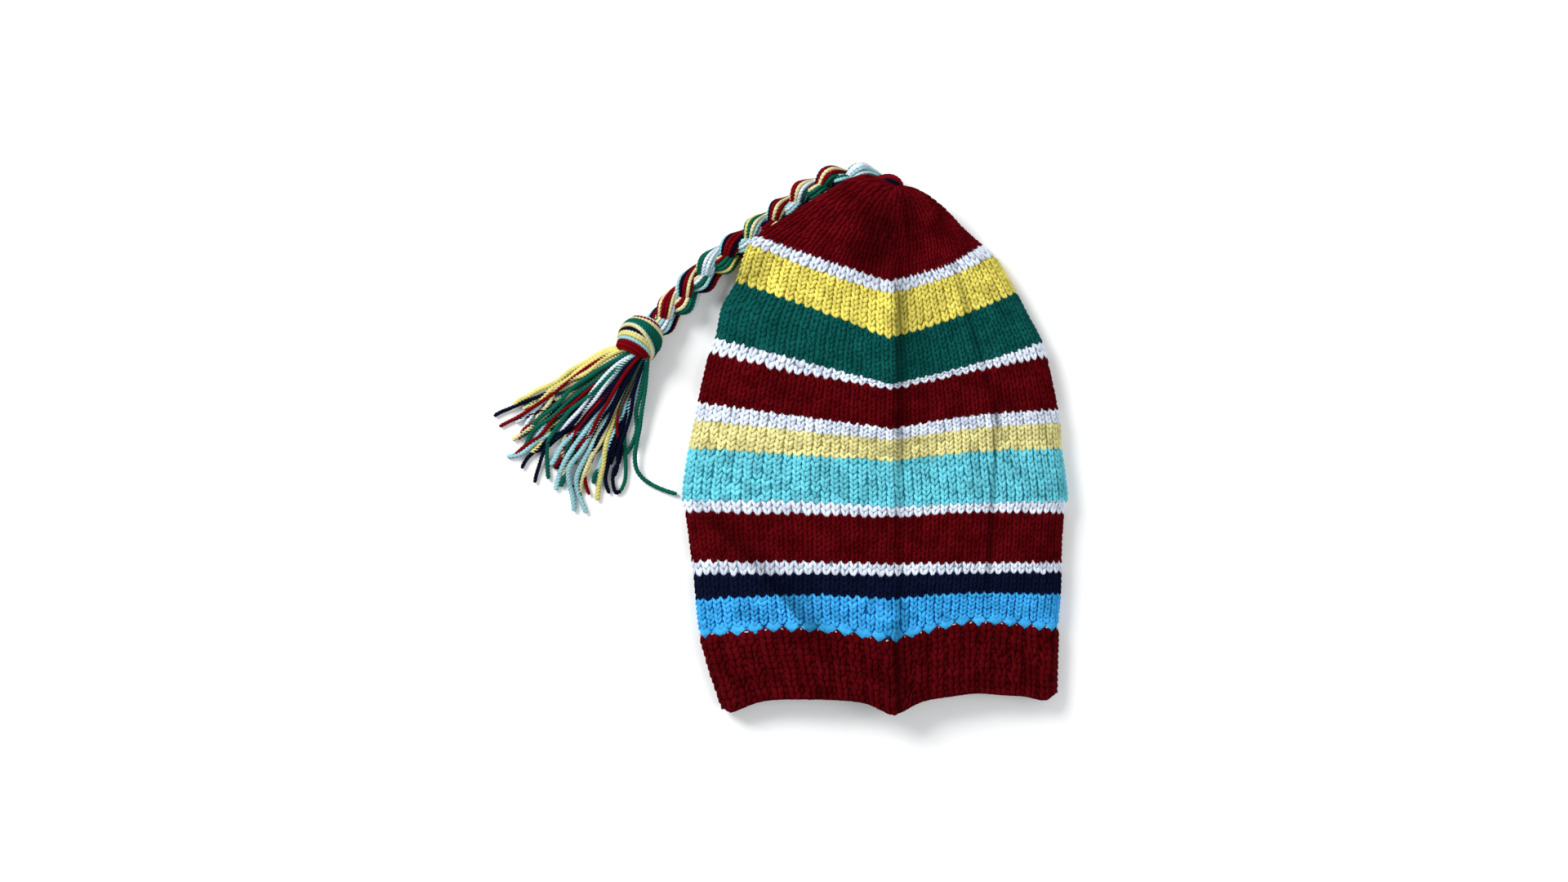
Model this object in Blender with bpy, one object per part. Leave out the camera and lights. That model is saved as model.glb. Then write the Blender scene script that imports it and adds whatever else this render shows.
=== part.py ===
"""Knitted slouchy beanie lying flat on its back: ribbed brim, striped body and gathered crown,
with a three-strand braid from the tip, an overhand knot and a yarn tassel.

Metres. +X is to the right as one looks down on the hat, +Y runs from the brim to the tip and
+Z is up from the surface that it lies on. The origin is under the middle of the hat, at floor level.
"""

import math
from collections import namedtuple

import bmesh
import bpy
from mathutils import Matrix, Vector

# The lying hat
HAT_WIDTH = 0.238
HAT_LENGTH = 0.333
HAT_LOFT = 0.0265
EDGE_DEPTH = 0.0070
EDGE_CURL = 0.10
TOP_SQUARENESS = 3.0
LEAST_TOP = 0.4
LEAST_INSIDE = 0.1
FOLD_END_FADE = 0.05

# The knitting
KNIT_THICKNESS = 0.0030
RIB_THICKNESS = 0.0040
RIB_DEPTH = 0.0008
RIB_COUNT = 44
BODY_COLUMNS = 64
SEAM_GAP = 0.0006
GATHER_COUNT = 16
GATHER_DEPTH = 0.0010
BRIM_BANDS = 5
BRIM_INNER_BANDS = 2
BODY_INNER_BANDS = 9
CROWN_BANDS = (3, 4, 3)
CROWN_INNER_BANDS = 4
CREASE_DEGREES = 45.0

# The braid, its knot and the tassel
BRAID_DIAMETER = 0.0172
BRAID_STEP = 0.014
CLEARANCE = 0.0004
DRAPE_MARGIN = 0.0018
DRAPE_RUN = 0.010
KNOT_WIDTH = 0.0270
KNOT_LENGTH = 0.0315
KNOT_HEIGHT = 0.0250
KNOT_ROLLS = 4
KNOT_GROOVE = 0.07
KNOT_TURN = math.radians(28)
KNOT_SEGMENTS = 20
KNOT_RINGS = 16
BRAID_CORNERS = 4
TASSEL_REACH = 0.096
TASSEL_HEAD_LENGTH = 0.016
LOCK_DIAMETER = 0.0125
LOW_LOCKS = 7
HIGH_LOCKS = 6
HIGH_REACH = 0.93
LOCK_SIDES = 8

# Lines across the knitting, from the hem to the tip. left, middle and right are places across the
# hat as shares of its width, 0 at its middle line. The y columns are heights above the hem's lowest
# corner as shares of its length: at the left edge, a quarter of the way, the centre crease, three
# quarters of the way, and the right edge.
Course = namedtuple("Course", "name left middle right y_left y_quarter y_middle y_three y_right")
COURSES = (
    Course("hem", -0.394, 0.044, 0.470, 0.026, 0.029, 0.021, 0.036, 0.033),
    Course("rib_top", -0.455, 0.035, 0.475, 0.149, 0.164, 0.143, 0.175, 0.161),
    Course("navy_bottom", -0.466, 0.035, 0.483, 0.215, 0.226, 0.220, 0.229, 0.225),
    Course("navy_top", -0.472, 0.039, 0.485, 0.263, 0.264, 0.263, 0.266, 0.266),
    Course("lower_red_bottom", -0.477, 0.041, 0.485, 0.287, 0.287, 0.284, 0.285, 0.285),
    Course("lower_red_top", -0.494, 0.044, 0.492, 0.378, 0.375, 0.369, 0.378, 0.376),
    Course("aqua_bottom", -0.500, 0.044, 0.500, 0.399, 0.398, 0.387, 0.395, 0.398),
    Course("aqua_top", -0.483, 0.039, 0.485, 0.496, 0.484, 0.472, 0.490, 0.496),
    Course("pale_yellow_top", -0.468, 0.039, 0.481, 0.548, 0.528, 0.510, 0.533, 0.543),
    Course("middle_red_bottom", -0.460, 0.039, 0.475, 0.581, 0.555, 0.531, 0.557, 0.568),
    Course("middle_red_top", -0.430, 0.039, 0.445, 0.674, 0.634, 0.604, 0.637, 0.669),
    Course("green_bottom", -0.415, 0.039, 0.434, 0.700, 0.654, 0.612, 0.648, 0.693),
    Course("green_middle", -0.400, 0.037, 0.400, 0.752, 0.703, 0.655, 0.692, 0.739),
    Course("green_top", -0.360, 0.035, 0.366, 0.804, 0.750, 0.697, 0.736, 0.785),
    Course("yellow_top", -0.326, 0.033, 0.307, 0.871, 0.818, 0.780, 0.810, 0.853),
    Course("crown_bottom", -0.305, 0.033, 0.275, 0.886, 0.841, 0.804, 0.829, 0.874),
    Course("crown_low", -0.226, 0.044, 0.230, 0.923, 0.894, 0.871, 0.886, 0.903),
    Course("crown_high", -0.126, 0.052, 0.171, 0.968, 0.950, 0.929, 0.938, 0.945),
    Course("crown_end", -0.024, 0.056, 0.111, 0.999, 0.979, 0.962, 0.965, 0.971),
    Course("tip", 0.035, 0.050, 0.065, 0.983, 0.979, 0.976, 0.977, 0.979),
)

# Stripes of the body, from the brim up: the line each one ends at, and how many bands of faces it has
Stripe = namedtuple("Stripe", "name end bands colour")
STRIPES = (
    Stripe("sky_blue", "navy_bottom", 2, "2F93DB"),
    Stripe("navy", "navy_top", 1, "040A1C"),
    Stripe("white_1", "lower_red_bottom", 1, "D9DAE6"),
    Stripe("red_1", "lower_red_top", 2, "6E000C"),
    Stripe("white_2", "aqua_bottom", 1, "D9DAE6"),
    Stripe("aqua", "aqua_top", 2, "5FC2C0"),
    Stripe("pale_yellow", "pale_yellow_top", 1, "E5D88A"),
    Stripe("white_3", "middle_red_bottom", 1, "D9DAE6"),
    Stripe("red_2", "middle_red_top", 2, "6E000C"),
    Stripe("white_4", "green_bottom", 1, "D9DAE6"),
    Stripe("green", "green_top", 2, "0B5C4A"),
    Stripe("yellow", "yellow_top", 2, "E3CE52"),
    Stripe("white_5", "crown_bottom", 1, "D9DAE6"),
)

# How high the lying hat stands along its middle line, as a share of the loft
Loft = namedtuple("Loft", "along height")
LOFTS = (
    Loft(0.02, 0.74),
    Loft(0.14, 0.88),
    Loft(0.30, 0.98),
    Loft(0.50, 1.00),
    Loft(0.70, 1.00),
    Loft(0.84, 1.04),
    Loft(0.93, 1.18),
    Loft(0.98, 1.12),
)

# Where the hem hangs below its plain line: place across, -1 at the left edge and 1 at the right,
# half width of the dip in the same measure, and drop as a share of the length
HemDip = namedtuple("HemDip", "place spread drop")
HEM_DIPS = (
    HemDip(-1.00, 0.16, 0.026),
    HemDip(0.01, 0.12, 0.020),
    HemDip(0.52, 0.12, -0.004),
    HemDip(0.92, 0.08, 0.008),
)

# Ridges and hollows of the top face, each along a straight line. x is a share of the width and y of
# the length, left and right are how far it spreads to either side as shares of the width, and rise is
# a share of the loft, below 0 for a hollow.
Fold = namedtuple("Fold", "name x_low y_low x_high y_high left right rise")
FOLDS = (
    Fold("centre_crease", 0.045, 0.03, 0.041, 0.80, 0.055, 0.016, 0.14),
    Fold("crease_valley", 0.085, 0.46, 0.080, 0.78, 0.025, 0.060, -0.09),
    Fold("side_crease_low", 0.292, 0.26, 0.311, 0.55, 0.011, 0.011, -0.05),
    Fold("side_crease_high", 0.311, 0.55, 0.215, 0.80, 0.011, 0.011, -0.05),
    Fold("left_fold", -0.255, 0.17, -0.415, 0.37, 0.060, 0.016, 0.08),
    Fold("crown_hollow", 0.020, 0.835, 0.015, 0.885, 0.075, 0.060, -0.17),
    Fold("crown_crease", 0.075, 0.83, 0.066, 0.95, 0.030, 0.012, 0.06),
    Fold("right_lump_low", 0.215, 0.895, 0.220, 0.905, 0.022, 0.022, 0.07),
    Fold("right_lump_high", 0.150, 0.935, 0.155, 0.945, 0.022, 0.022, 0.06),
)

# The braid's route on the floor, from under the crown's tip to the knot: x is a share of the width
# from the hat's middle line and y a share of its length above the hem's lowest corner
RoutePoint = namedtuple("RoutePoint", "x y")
BRAID_ROUTE = (
    RoutePoint(0.044, 0.951),
    RoutePoint(0.037, 0.962),
    RoutePoint(0.022, 0.977),
    RoutePoint(-0.003, 0.988),
    RoutePoint(-0.035, 0.991),
    RoutePoint(-0.067, 0.991),
    RoutePoint(-0.124, 0.983),
    RoutePoint(-0.174, 0.963),
    RoutePoint(-0.231, 0.931),
    RoutePoint(-0.292, 0.900),
    RoutePoint(-0.340, 0.873),
    RoutePoint(-0.382, 0.853),
    RoutePoint(-0.455, 0.810),
    RoutePoint(-0.511, 0.766),
    RoutePoint(-0.573, 0.720),
)
COVERED_POINTS = 11
KNOT_PLACE = RoutePoint(-0.610, 0.696)
TASSEL_PLACE = RoutePoint(-0.617, 0.651)

# The tassel's fan, from its upper left lock to its right one: turn is the way to the lock's end,
# measured from -X towards -Y in degrees, bow bends its middle the same way, reach is a share of
# the tassel's reach
FanEdge = namedtuple("FanEdge", "turn bow reach")
FAN = (
    FanEdge(28.0, -20.0, 0.94),
    FanEdge(46.0, -10.0, 1.00),
    FanEdge(65.0, -1.0, 1.02),
    FanEdge(78.0, 3.0, 0.84),
)

# Along a lock, from inside the tassel's head to its end on the floor: place along it, width as a share
# of the lock's diameter, and height of its underside in the same measure, in the low layer and the high
LockStep = namedtuple("LockStep", "place width low_lift high_lift")
LOCK_STEPS = (
    LockStep(0.05, 0.63, 0.25, 0.56),
    LockStep(0.25, 0.76, 0.15, 0.58),
    LockStep(0.45, 0.94, 0.03, 0.57),
    LockStep(0.65, 1.00, 0.00, 0.36),
    LockStep(0.85, 1.00, 0.00, 0.06),
    LockStep(0.96, 0.71, 0.00, 0.00),
    LockStep(1.00, 0.55, 0.00, 0.00),
)

# Where the five heights of a course stand across the hat. It bends sharply at the middle one.
MIDDLE_PLACE = 2
ACROSS_PLACES = (-1.0, -0.5, 0.0, 0.5, 1.0)
ACROSS_COLUMNS = ("y_left", "y_quarter", "y_middle", "y_three", "y_right")

TAU = 2.0 * math.pi


def smooth_value(knots, values, at):
    """Value at a place, from a smooth curve through the given values that never overshoots them."""
    last = len(knots) - 1
    at = min(max(at, knots[0]), knots[last])
    slopes = [(values[k + 1] - values[k]) / (knots[k + 1] - knots[k]) for k in range(last)]
    tangents = [slopes[0]]
    for before, after in zip(slopes, slopes[1:]):
        same_way = before * after > 0.0
        tangents.append(2.0 * before * after / (before + after) if same_way else 0.0)
    tangents.append(slopes[-1])
    k = 0
    while k < last - 1 and at > knots[k + 1]:
        k += 1
    run = knots[k + 1] - knots[k]
    t = (at - knots[k]) / run
    rest = 1.0 - t
    start = (1.0 + 2.0 * t) * rest * rest * values[k] + t * rest * rest * run * tangents[k]
    end = t * t * (3.0 - 2.0 * t) * values[k + 1] - t * t * rest * run * tangents[k + 1]
    return start + end


def smooth_step(share):
    """0 below 0, 1 above 1 and an even slope between."""
    share = min(max(share, 0.0), 1.0)
    return share * share * (3.0 - 2.0 * share)


COURSE_PLACES = [course.y_middle for course in COURSES]
COURSE_AT = {course.name: course.y_middle for course in COURSES}


def course_value(column, along):
    """One column of the table of courses, read at any share of the hat's length."""
    return smooth_value(COURSE_PLACES, [getattr(course, column) for course in COURSES], along)


def plan_place(x_share, y_share):
    """Plan position in metres of shares of the hat's width and length."""
    return x_share * HAT_WIDTH, (y_share - 0.5) * HAT_LENGTH


def row_place(along, across):
    """Plan position of a place across the row that crosses the centre crease at the given share."""
    left = course_value("left", along)
    middle = course_value("middle", along)
    right = course_value("right", along)
    half = (right - left) / 2.0
    lean = (left + right) / 2.0 - middle
    x_share = middle + across * half + across * across * lean
    heights = [course_value(name, along) for name in ACROSS_COLUMNS]
    side = slice(None, MIDDLE_PLACE + 1) if across < 0.0 else slice(MIDDLE_PLACE, None)
    y_share = smooth_value(ACROSS_PLACES[side], heights[side], across)
    fade = 1.0 - smooth_step((along - COURSE_AT["hem"]) / (COURSE_AT["rib_top"] - COURSE_AT["hem"]))
    for dip in HEM_DIPS:
        y_share -= fade * dip.drop * math.exp(-(((across - dip.place) / dip.spread) ** 2))
    return plan_place(x_share, y_share)


def half_width(along):
    """Half the plan width of a row."""
    return (course_value("right", along) - course_value("left", along)) * HAT_WIDTH / 2.0


def fold_rise(x, y):
    """Height that the folds add to the top face at a plan position."""
    total = 0.0
    for fold in FOLDS:
        low = Vector(plan_place(fold.x_low, fold.y_low))
        high = Vector(plan_place(fold.x_high, fold.y_high))
        way = (high - low).normalized()
        from_low = Vector((x, y)) - low
        along = from_low.dot(way)
        beyond = max(-along, along - (high - low).length, 0.0)
        to_right = from_low.dot(Vector((way.y, -way.x)))
        spread = (fold.right if to_right > 0.0 else fold.left) * HAT_WIDTH
        distance = math.hypot(to_right / spread, beyond / (FOLD_END_FADE * HAT_LENGTH))
        total += fold.rise * HAT_LOFT * math.exp(-distance * distance)
    return total


def braid_points():
    """The braid's centre line, from the crown to the knot, lying on the floor."""
    height = BRAID_DIAMETER / 2.0 + CLEARANCE
    return [Vector((*plan_place(point.x, point.y), height)) for point in BRAID_ROUTE]


def drape_height(x, y):
    """How far the hat's underside is lifted where the crown lies over the braid."""
    covered = [point.xy for point in braid_points()[:COVERED_POINTS]]
    here = Vector((x, y))
    distance = math.inf
    for start, end in zip(covered, covered[1:]):
        way = end - start
        share = min(max((here - start).dot(way) / way.length_squared, 0.0), 1.0)
        distance = min(distance, (here - start - way * share).length)
    near = BRAID_DIAMETER / 2.0 + DRAPE_MARGIN
    top = BRAID_DIAMETER + 2.0 * CLEARANCE
    return top * smooth_step(1.0 - (distance - near) / DRAPE_RUN)


def loop_places(count):
    """Places round the flattened tube, evenly spaced: across from -1 to 1, and rise from -1 to 1.

    They start at the left edge, run over the top to the right edge and come back underneath."""
    fine = 1200
    shape = []
    for k in range(fine + 1):
        turn = TAU * k / fine
        across = -math.cos(turn)
        if turn <= math.pi:
            rise = max(1.0 - abs(across) ** TOP_SQUARENESS, 0.0) ** 0.5
        else:
            curl = max((abs(across) - 1.0 + EDGE_CURL) / EDGE_CURL, 0.0)
            rise = -max(1.0 - curl * curl, 0.0) ** 0.5
        shape.append((across, rise))
    lengths = [0.0]
    for (across_a, rise_a), (across_b, rise_b) in zip(shape, shape[1:]):
        tall = HAT_LOFT - EDGE_DEPTH if rise_a + rise_b > 0.0 else EDGE_DEPTH
        step = math.hypot((across_b - across_a) * HAT_WIDTH / 2.0, (rise_b - rise_a) * tall)
        lengths.append(lengths[-1] + step)
    places = []
    k = 0
    for place in range(count):
        goal = lengths[-1] * place / count
        while lengths[k + 1] < goal:
            k += 1
        share = (goal - lengths[k]) / (lengths[k + 1] - lengths[k])
        places.append(tuple(a + (b - a) * share for a, b in zip(shape[k], shape[k + 1])))
    return places


def knit_point(along, across, rise, swell=0.0, inset=0.0):
    """A point of the lying knitting, pushed out by swell or in by inset from its plain outer face."""
    out = swell * (1.0 - abs(rise)) ** 2 - inset
    across *= 1.0 + out / half_width(along)
    x, y = row_place(along, min(max(across, -1.0), 1.0))
    if abs(across) > 1.0:
        x += math.copysign((abs(across) - 1.0) * half_width(along), across)
    lift = drape_height(x, y)
    if rise < 0.0:
        depth = EDGE_DEPTH - inset
        z = lift + inset + depth * (1.0 + rise) - swell * rise * rise
        return Vector((x, y, z))
    loft = smooth_value([row.along for row in LOFTS], [row.height for row in LOFTS], along) * HAT_LOFT
    tall = max(loft + fold_rise(x, y) - EDGE_DEPTH - lift, LEAST_TOP * EDGE_DEPTH) - inset
    z = lift + EDGE_DEPTH + rise * (max(tall, LEAST_INSIDE * EDGE_DEPTH) + swell)
    return Vector((x, y, z))


def material(name, colour, roughness):
    """A Principled material with an sRGB hex colour."""
    linear = []
    for k in (0, 2, 4):
        share = int(colour[k:k + 2], 16) / 255.0
        linear.append(share / 12.92 if share <= 0.04045 else ((share + 0.055) / 1.055) ** 2.4)
    made = bpy.data.materials.new(name)
    made.use_nodes = True
    shader = made.node_tree.nodes["Principled BSDF"]
    shader.inputs["Base Color"].default_value = (*linear, 1.0)
    shader.inputs["Roughness"].default_value = roughness
    shader.inputs["Metallic"].default_value = 0.0
    made.diffuse_color = (*linear, 1.0)
    return made


def add_object(name, data, materials):
    """Link a mesh or curve to the scene under a name, with its materials."""
    for made in materials:
        data.materials.append(made)
    item = bpy.data.objects.new(name, data)
    bpy.context.scene.collection.objects.link(item)
    return item


def wrapped_grid(columns, rings, place, open_strip=None, band_material=None):
    """Mesh of a grid rolled up both ways: place(column, ring) gives each corner.

    open_strip is a strip of faces to leave out, and band_material gives a material for each ring."""
    grid = bmesh.new()
    bmesh.ops.create_grid(grid, x_segments=columns, y_segments=rings, size=0.5)
    cells = {}
    for vert in grid.verts:
        cells[vert] = (round((vert.co.x + 0.5) * columns), round((vert.co.y + 0.5) * rings))
    left_out = []
    for face in grid.faces:
        ring = min(cells[vert][1] for vert in face.verts)
        if ring == open_strip:
            left_out.append(face)
        elif band_material:
            face.material_index = band_material(ring)
    for vert, (column, ring) in cells.items():
        vert.co = place(column % columns, ring % rings)
    bmesh.ops.delete(grid, geom=left_out, context="FACES")
    bmesh.ops.remove_doubles(grid, verts=grid.verts, dist=0.000001)
    bmesh.ops.dissolve_degenerate(grid, edges=grid.edges, dist=0.000001)
    bmesh.ops.recalc_face_normals(grid, faces=grid.faces)
    mesh = bpy.data.meshes.new("grid")
    grid.to_mesh(mesh)
    grid.free()
    return mesh


def even_steps(start, end, count):
    """count + 1 values from start to end."""
    return [start + (end - start) * k / count for k in range(count + 1)]


def shade(mesh):
    """Smooth shading, with the sharper edges kept sharp."""
    mesh.shade_smooth()
    mesh.set_sharp_from_angle(angle=math.radians(CREASE_DEGREES))


def build_brim():
    """The rib band: outer ribs as a zigzag of two columns each, a plain inner face and a round hem."""
    columns = 2 * RIB_COUNT
    places = loop_places(columns)
    hem = COURSE_AT["hem"]
    top = COURSE_AT["rib_top"] - SEAM_GAP / 2.0 / HAT_LENGTH
    outer = even_steps(hem, top, BRIM_BANDS)
    inner = even_steps(top, hem, BRIM_INNER_BANDS)
    round_share = RIB_THICKNESS / 2.0 / HAT_LENGTH
    rings = [(along, 0.0, 1.0) for along in outer[1:]]
    rings += [(along, RIB_THICKNESS, 0.0) for along in inner[:-1]]
    rings += [(hem + round_share, RIB_THICKNESS, 0.0), (hem, RIB_THICKNESS / 2.0, 0.0)]
    rings += [(hem + round_share, 0.0, 1.0)]

    def place(column, ring):
        along, inset, ribbed = rings[ring]
        across, rise = places[column]
        rib = RIB_DEPTH if column % 2 == 0 else -RIB_DEPTH
        swell = (rib - RIB_DEPTH) * ribbed
        return knit_point(along, across, rise, swell, inset)

    mesh = wrapped_grid(columns, len(rings), place)
    shade(mesh)
    return add_object("ribbed_brim", mesh, [material("maroon_rib_knit", "66000B", 0.9)])


def build_body():
    """The striped tube: bands of faces end on the stripes' own lines, outside and in."""
    places = loop_places(BODY_COLUMNS)
    gap = SEAM_GAP / 2.0 / HAT_LENGTH
    colours = []
    band_colours = []
    outer = [COURSE_AT["rib_top"] + gap]
    start = COURSE_AT["rib_top"]
    for index, stripe in enumerate(STRIPES):
        end = COURSE_AT[stripe.end]
        outer += even_steps(start, end, stripe.bands)[1:]
        band_colours += [index] * stripe.bands
        colours.append(material("knit_" + stripe.name, stripe.colour, 0.9))
        start = end
    outer[-1] -= gap
    inner = even_steps(outer[-1], outer[0], BODY_INNER_BANDS)
    rings = [(along, 0.0) for along in outer] + [(along, KNIT_THICKNESS) for along in inner]

    def place(column, ring):
        along, inset = rings[ring]
        across, rise = places[column]
        return knit_point(along, across, rise, 0.0, inset)

    def band_material(ring):
        return band_colours[ring] if ring < len(band_colours) else 0

    mesh = wrapped_grid(BODY_COLUMNS, len(rings), place, None, band_material)
    shade(mesh)
    return add_object("striped_body", mesh, colours)


def build_crown():
    """The crown: an outer face gathered to the tip and an inner face that closes a little before it."""
    places = loop_places(BODY_COLUMNS)
    start = COURSE_AT["crown_bottom"] + SEAM_GAP / 2.0 / HAT_LENGTH
    high = COURSE_AT["crown_high"]
    end = COURSE_AT["crown_end"]
    tip = COURSE_AT["tip"]
    outer = [start]
    for stop, bands in zip((COURSE_AT["crown_low"], high, end), CROWN_BANDS):
        outer += even_steps(outer[-1], stop, bands)[1:]
    inner_tip = (high + end) / 2.0
    inner = even_steps(inner_tip, start, CROWN_INNER_BANDS)
    rings = [(along, 0.0) for along in outer] + [(tip, None)]
    open_strip = len(rings) - 1
    rings += [(inner_tip, None)] + [(along, KNIT_THICKNESS) for along in inner[1:]]

    def place(column, ring):
        along, inset = rings[ring]
        across, rise = places[column]
        if inset is None:
            x, y = row_place(along, 0.0)
            return Vector((x, y, drape_height(x, y) + EDGE_DEPTH))
        gathering = smooth_step((along - start) / (tip - start)) * (1.0 if inset == 0.0 else 0.0)
        wave = math.cos(TAU * GATHER_COUNT * column / BODY_COLUMNS) - 1.0
        swell = GATHER_DEPTH * gathering * wave * (1.0 if rise > 0.0 else 0.0)
        return knit_point(along, across, rise, swell, inset)

    mesh = wrapped_grid(BODY_COLUMNS, len(rings), place, open_strip)
    shade(mesh)
    return add_object("crown", mesh, [material("maroon_knit", "6E000C", 0.9)])


def read_curve(points, share):
    """Point of a smooth curve through the given points, with share from 0 to 1 of their count."""
    spans = len(points) - 1
    k = min(int(share * spans), spans - 1)
    t = share * spans - k
    before = points[max(k - 1, 0)]
    start = points[k]
    end = points[k + 1]
    after = points[min(k + 2, spans)]
    bend = (end - start) * (3.0 * t * t - 2.0 * t * t * t)
    leave = (end - before) / 2.0 * (t - 2.0 * t * t + t * t * t)
    arrive = (after - start) / 2.0 * (t * t * t - t * t)
    return start + bend + leave + arrive


def even_curve(points, step):
    """Points a step apart along the smooth curve through the given ones, ends included."""
    fine = [read_curve(points, k / 600.0) for k in range(601)]
    lengths = [0.0]
    for a, b in zip(fine, fine[1:]):
        lengths.append(lengths[-1] + (b - a).length)
    count = max(round(lengths[-1] / step), 2)
    result = [fine[0]]
    k = 0
    for place in range(1, count):
        goal = lengths[-1] * place / count
        while lengths[k + 1] < goal:
            k += 1
        result.append(fine[k].lerp(fine[k + 1], (goal - lengths[k]) / (lengths[k + 1] - lengths[k])))
    return result + [fine[-1]]


def build_braid():
    """The braid's outer form: a round tube along its route, with filled ends."""
    route = even_curve(braid_points(), BRAID_STEP)
    curve = bpy.data.curves.new("braid", "CURVE")
    curve.dimensions = "3D"
    curve.fill_mode = "FULL"
    curve.bevel_depth = BRAID_DIAMETER / 2.0
    curve.bevel_resolution = BRAID_CORNERS
    curve.use_fill_caps = True
    spline = curve.splines.new("POLY")
    spline.points.add(len(route) - 1)
    for slot, point in zip(spline.points, route):
        slot.co = (*point, 1.0)
    return add_object("braid", curve, [material("mixed_yarn_braid", "8C6A55", 0.9)])


def rounded_lump(sizes, place, name):
    """An ellipsoid mesh of the given full sizes, centred on a place."""
    lump = bmesh.new()
    bmesh.ops.create_uvsphere(lump, u_segments=KNOT_SEGMENTS, v_segments=KNOT_RINGS, radius=0.5)
    matrix = Matrix.Translation(place) @ Matrix.Diagonal((*sizes, 1.0))
    bmesh.ops.transform(lump, matrix=matrix, verts=lump.verts)
    mesh = bpy.data.meshes.new(name)
    lump.to_mesh(mesh)
    lump.free()
    return mesh


def knot_centre():
    """Middle of the knot, lying on the floor."""
    return Vector((*plan_place(KNOT_PLACE.x, KNOT_PLACE.y), KNOT_HEIGHT / 2.0 + CLEARANCE))


def add_cutter(name, mesh):
    """A hidden shape for a Boolean."""
    cutter = add_object(name, mesh, [])
    cutter.hide_render = True
    cutter.display_type = "WIRE"
    return cutter


def add_boolean(item, operation, name):
    """A Boolean modifier that still needs its operand."""
    modifier = item.modifiers.new(name, "BOOLEAN")
    modifier.operation = operation
    modifier.solver = "EXACT"
    return modifier


def braid_seat():
    """A round bar that ends a clearance past the braid's end, to sink its seat into the knot."""
    route = even_curve(braid_points(), BRAID_STEP)
    way = (route[-1] - route[-2]).normalized()
    length = 2.0 * BRAID_DIAMETER
    bar = bmesh.new()
    radius = BRAID_DIAMETER / 2.0 + CLEARANCE
    bmesh.ops.create_cone(
        bar, cap_ends=True, segments=KNOT_SEGMENTS, radius1=radius, radius2=radius, depth=length
    )
    turn = way.to_track_quat("Z", "Y").to_matrix().to_4x4()
    centre = route[-1] + way * (CLEARANCE - length / 2.0)
    bmesh.ops.transform(bar, matrix=Matrix.Translation(centre) @ turn, verts=bar.verts)
    mesh = bpy.data.meshes.new("braid_seat")
    bar.to_mesh(mesh)
    bar.free()
    return add_cutter("braid_seat", mesh)


def build_knot():
    """The overhand knot: a rounded lump of slanting rolls, with a flat seat where the braid enters."""
    lump = bmesh.new()
    bmesh.ops.create_uvsphere(lump, u_segments=KNOT_SEGMENTS, v_segments=KNOT_RINGS, radius=0.5)
    for vert in lump.verts:
        turn = math.acos(max(-1.0, min(1.0, 2.0 * vert.co.z)))
        vert.co *= 1.0 - KNOT_GROOVE * (0.5 + 0.5 * math.cos(2.0 * KNOT_ROLLS * turn))
    lay = Matrix.Rotation(KNOT_TURN, 4, "Z") @ Matrix.Rotation(math.radians(90), 4, "X")
    size = Matrix.Diagonal((KNOT_WIDTH, KNOT_LENGTH, KNOT_HEIGHT, 1.0))
    bmesh.ops.transform(lump, matrix=Matrix.Translation(knot_centre()) @ size @ lay, verts=lump.verts)
    mesh = bpy.data.meshes.new("knot")
    lump.to_mesh(mesh)
    lump.free()
    shade(mesh)
    knot = add_object("knot", mesh, [material("mixed_yarn_knot", "C9B65E", 0.9)])
    add_boolean(knot, "DIFFERENCE", "seat").object = braid_seat()
    return knot


def lock_mesh(points, radii):
    """A lock of yarns: a tapering round rope through the points, its ends drawn to a blunt point."""
    rings = len(points)

    def place(column, ring):
        if ring in (0, rings + 1):
            return points[0 if ring == 0 else -1]
        point = points[ring - 1]
        before = points[max(ring - 2, 0)]
        after = points[min(ring, rings - 1)]
        way = (after - before).normalized()
        side = way.cross(Vector((0.0, 0.0, 1.0))).normalized()
        up = side.cross(way)
        angle = TAU * (column + 0.5) / LOCK_SIDES
        return point + (side * math.cos(angle) + up * math.sin(angle)) * radii[ring - 1]

    return wrapped_grid(LOCK_SIDES, rings + 2, place, rings + 1)


def fan_value(column, share):
    """One column of the fan's table, read at a share of the way round the fan."""
    knots = [k / (len(FAN) - 1) for k in range(len(FAN))]
    return smooth_value(knots, [getattr(row, column) for row in FAN], share)


def lock_route(share, high):
    """Centre line and radii of one lock, from inside the tassel's head to its end on the floor."""
    x, y = plan_place(TASSEL_PLACE.x, TASSEL_PLACE.y)
    turn = fan_value("turn", share)
    bow = fan_value("bow", share)
    reach = fan_value("reach", share) * TASSEL_REACH * (HIGH_REACH if high else 1.0)
    points = []
    radii = []
    for step in LOCK_STEPS:
        angle = math.radians(turn + bow * (1.0 - step.place * step.place))
        out = reach * step.place
        radius = step.width * LOCK_DIAMETER / 2.0
        lift = step.high_lift if high else step.low_lift
        height = radius + CLEARANCE + lift * LOCK_DIAMETER
        points.append(Vector((x - out * math.cos(angle), y - out * math.sin(angle), height)))
        radii.append(radius)
    return points, radii


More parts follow.
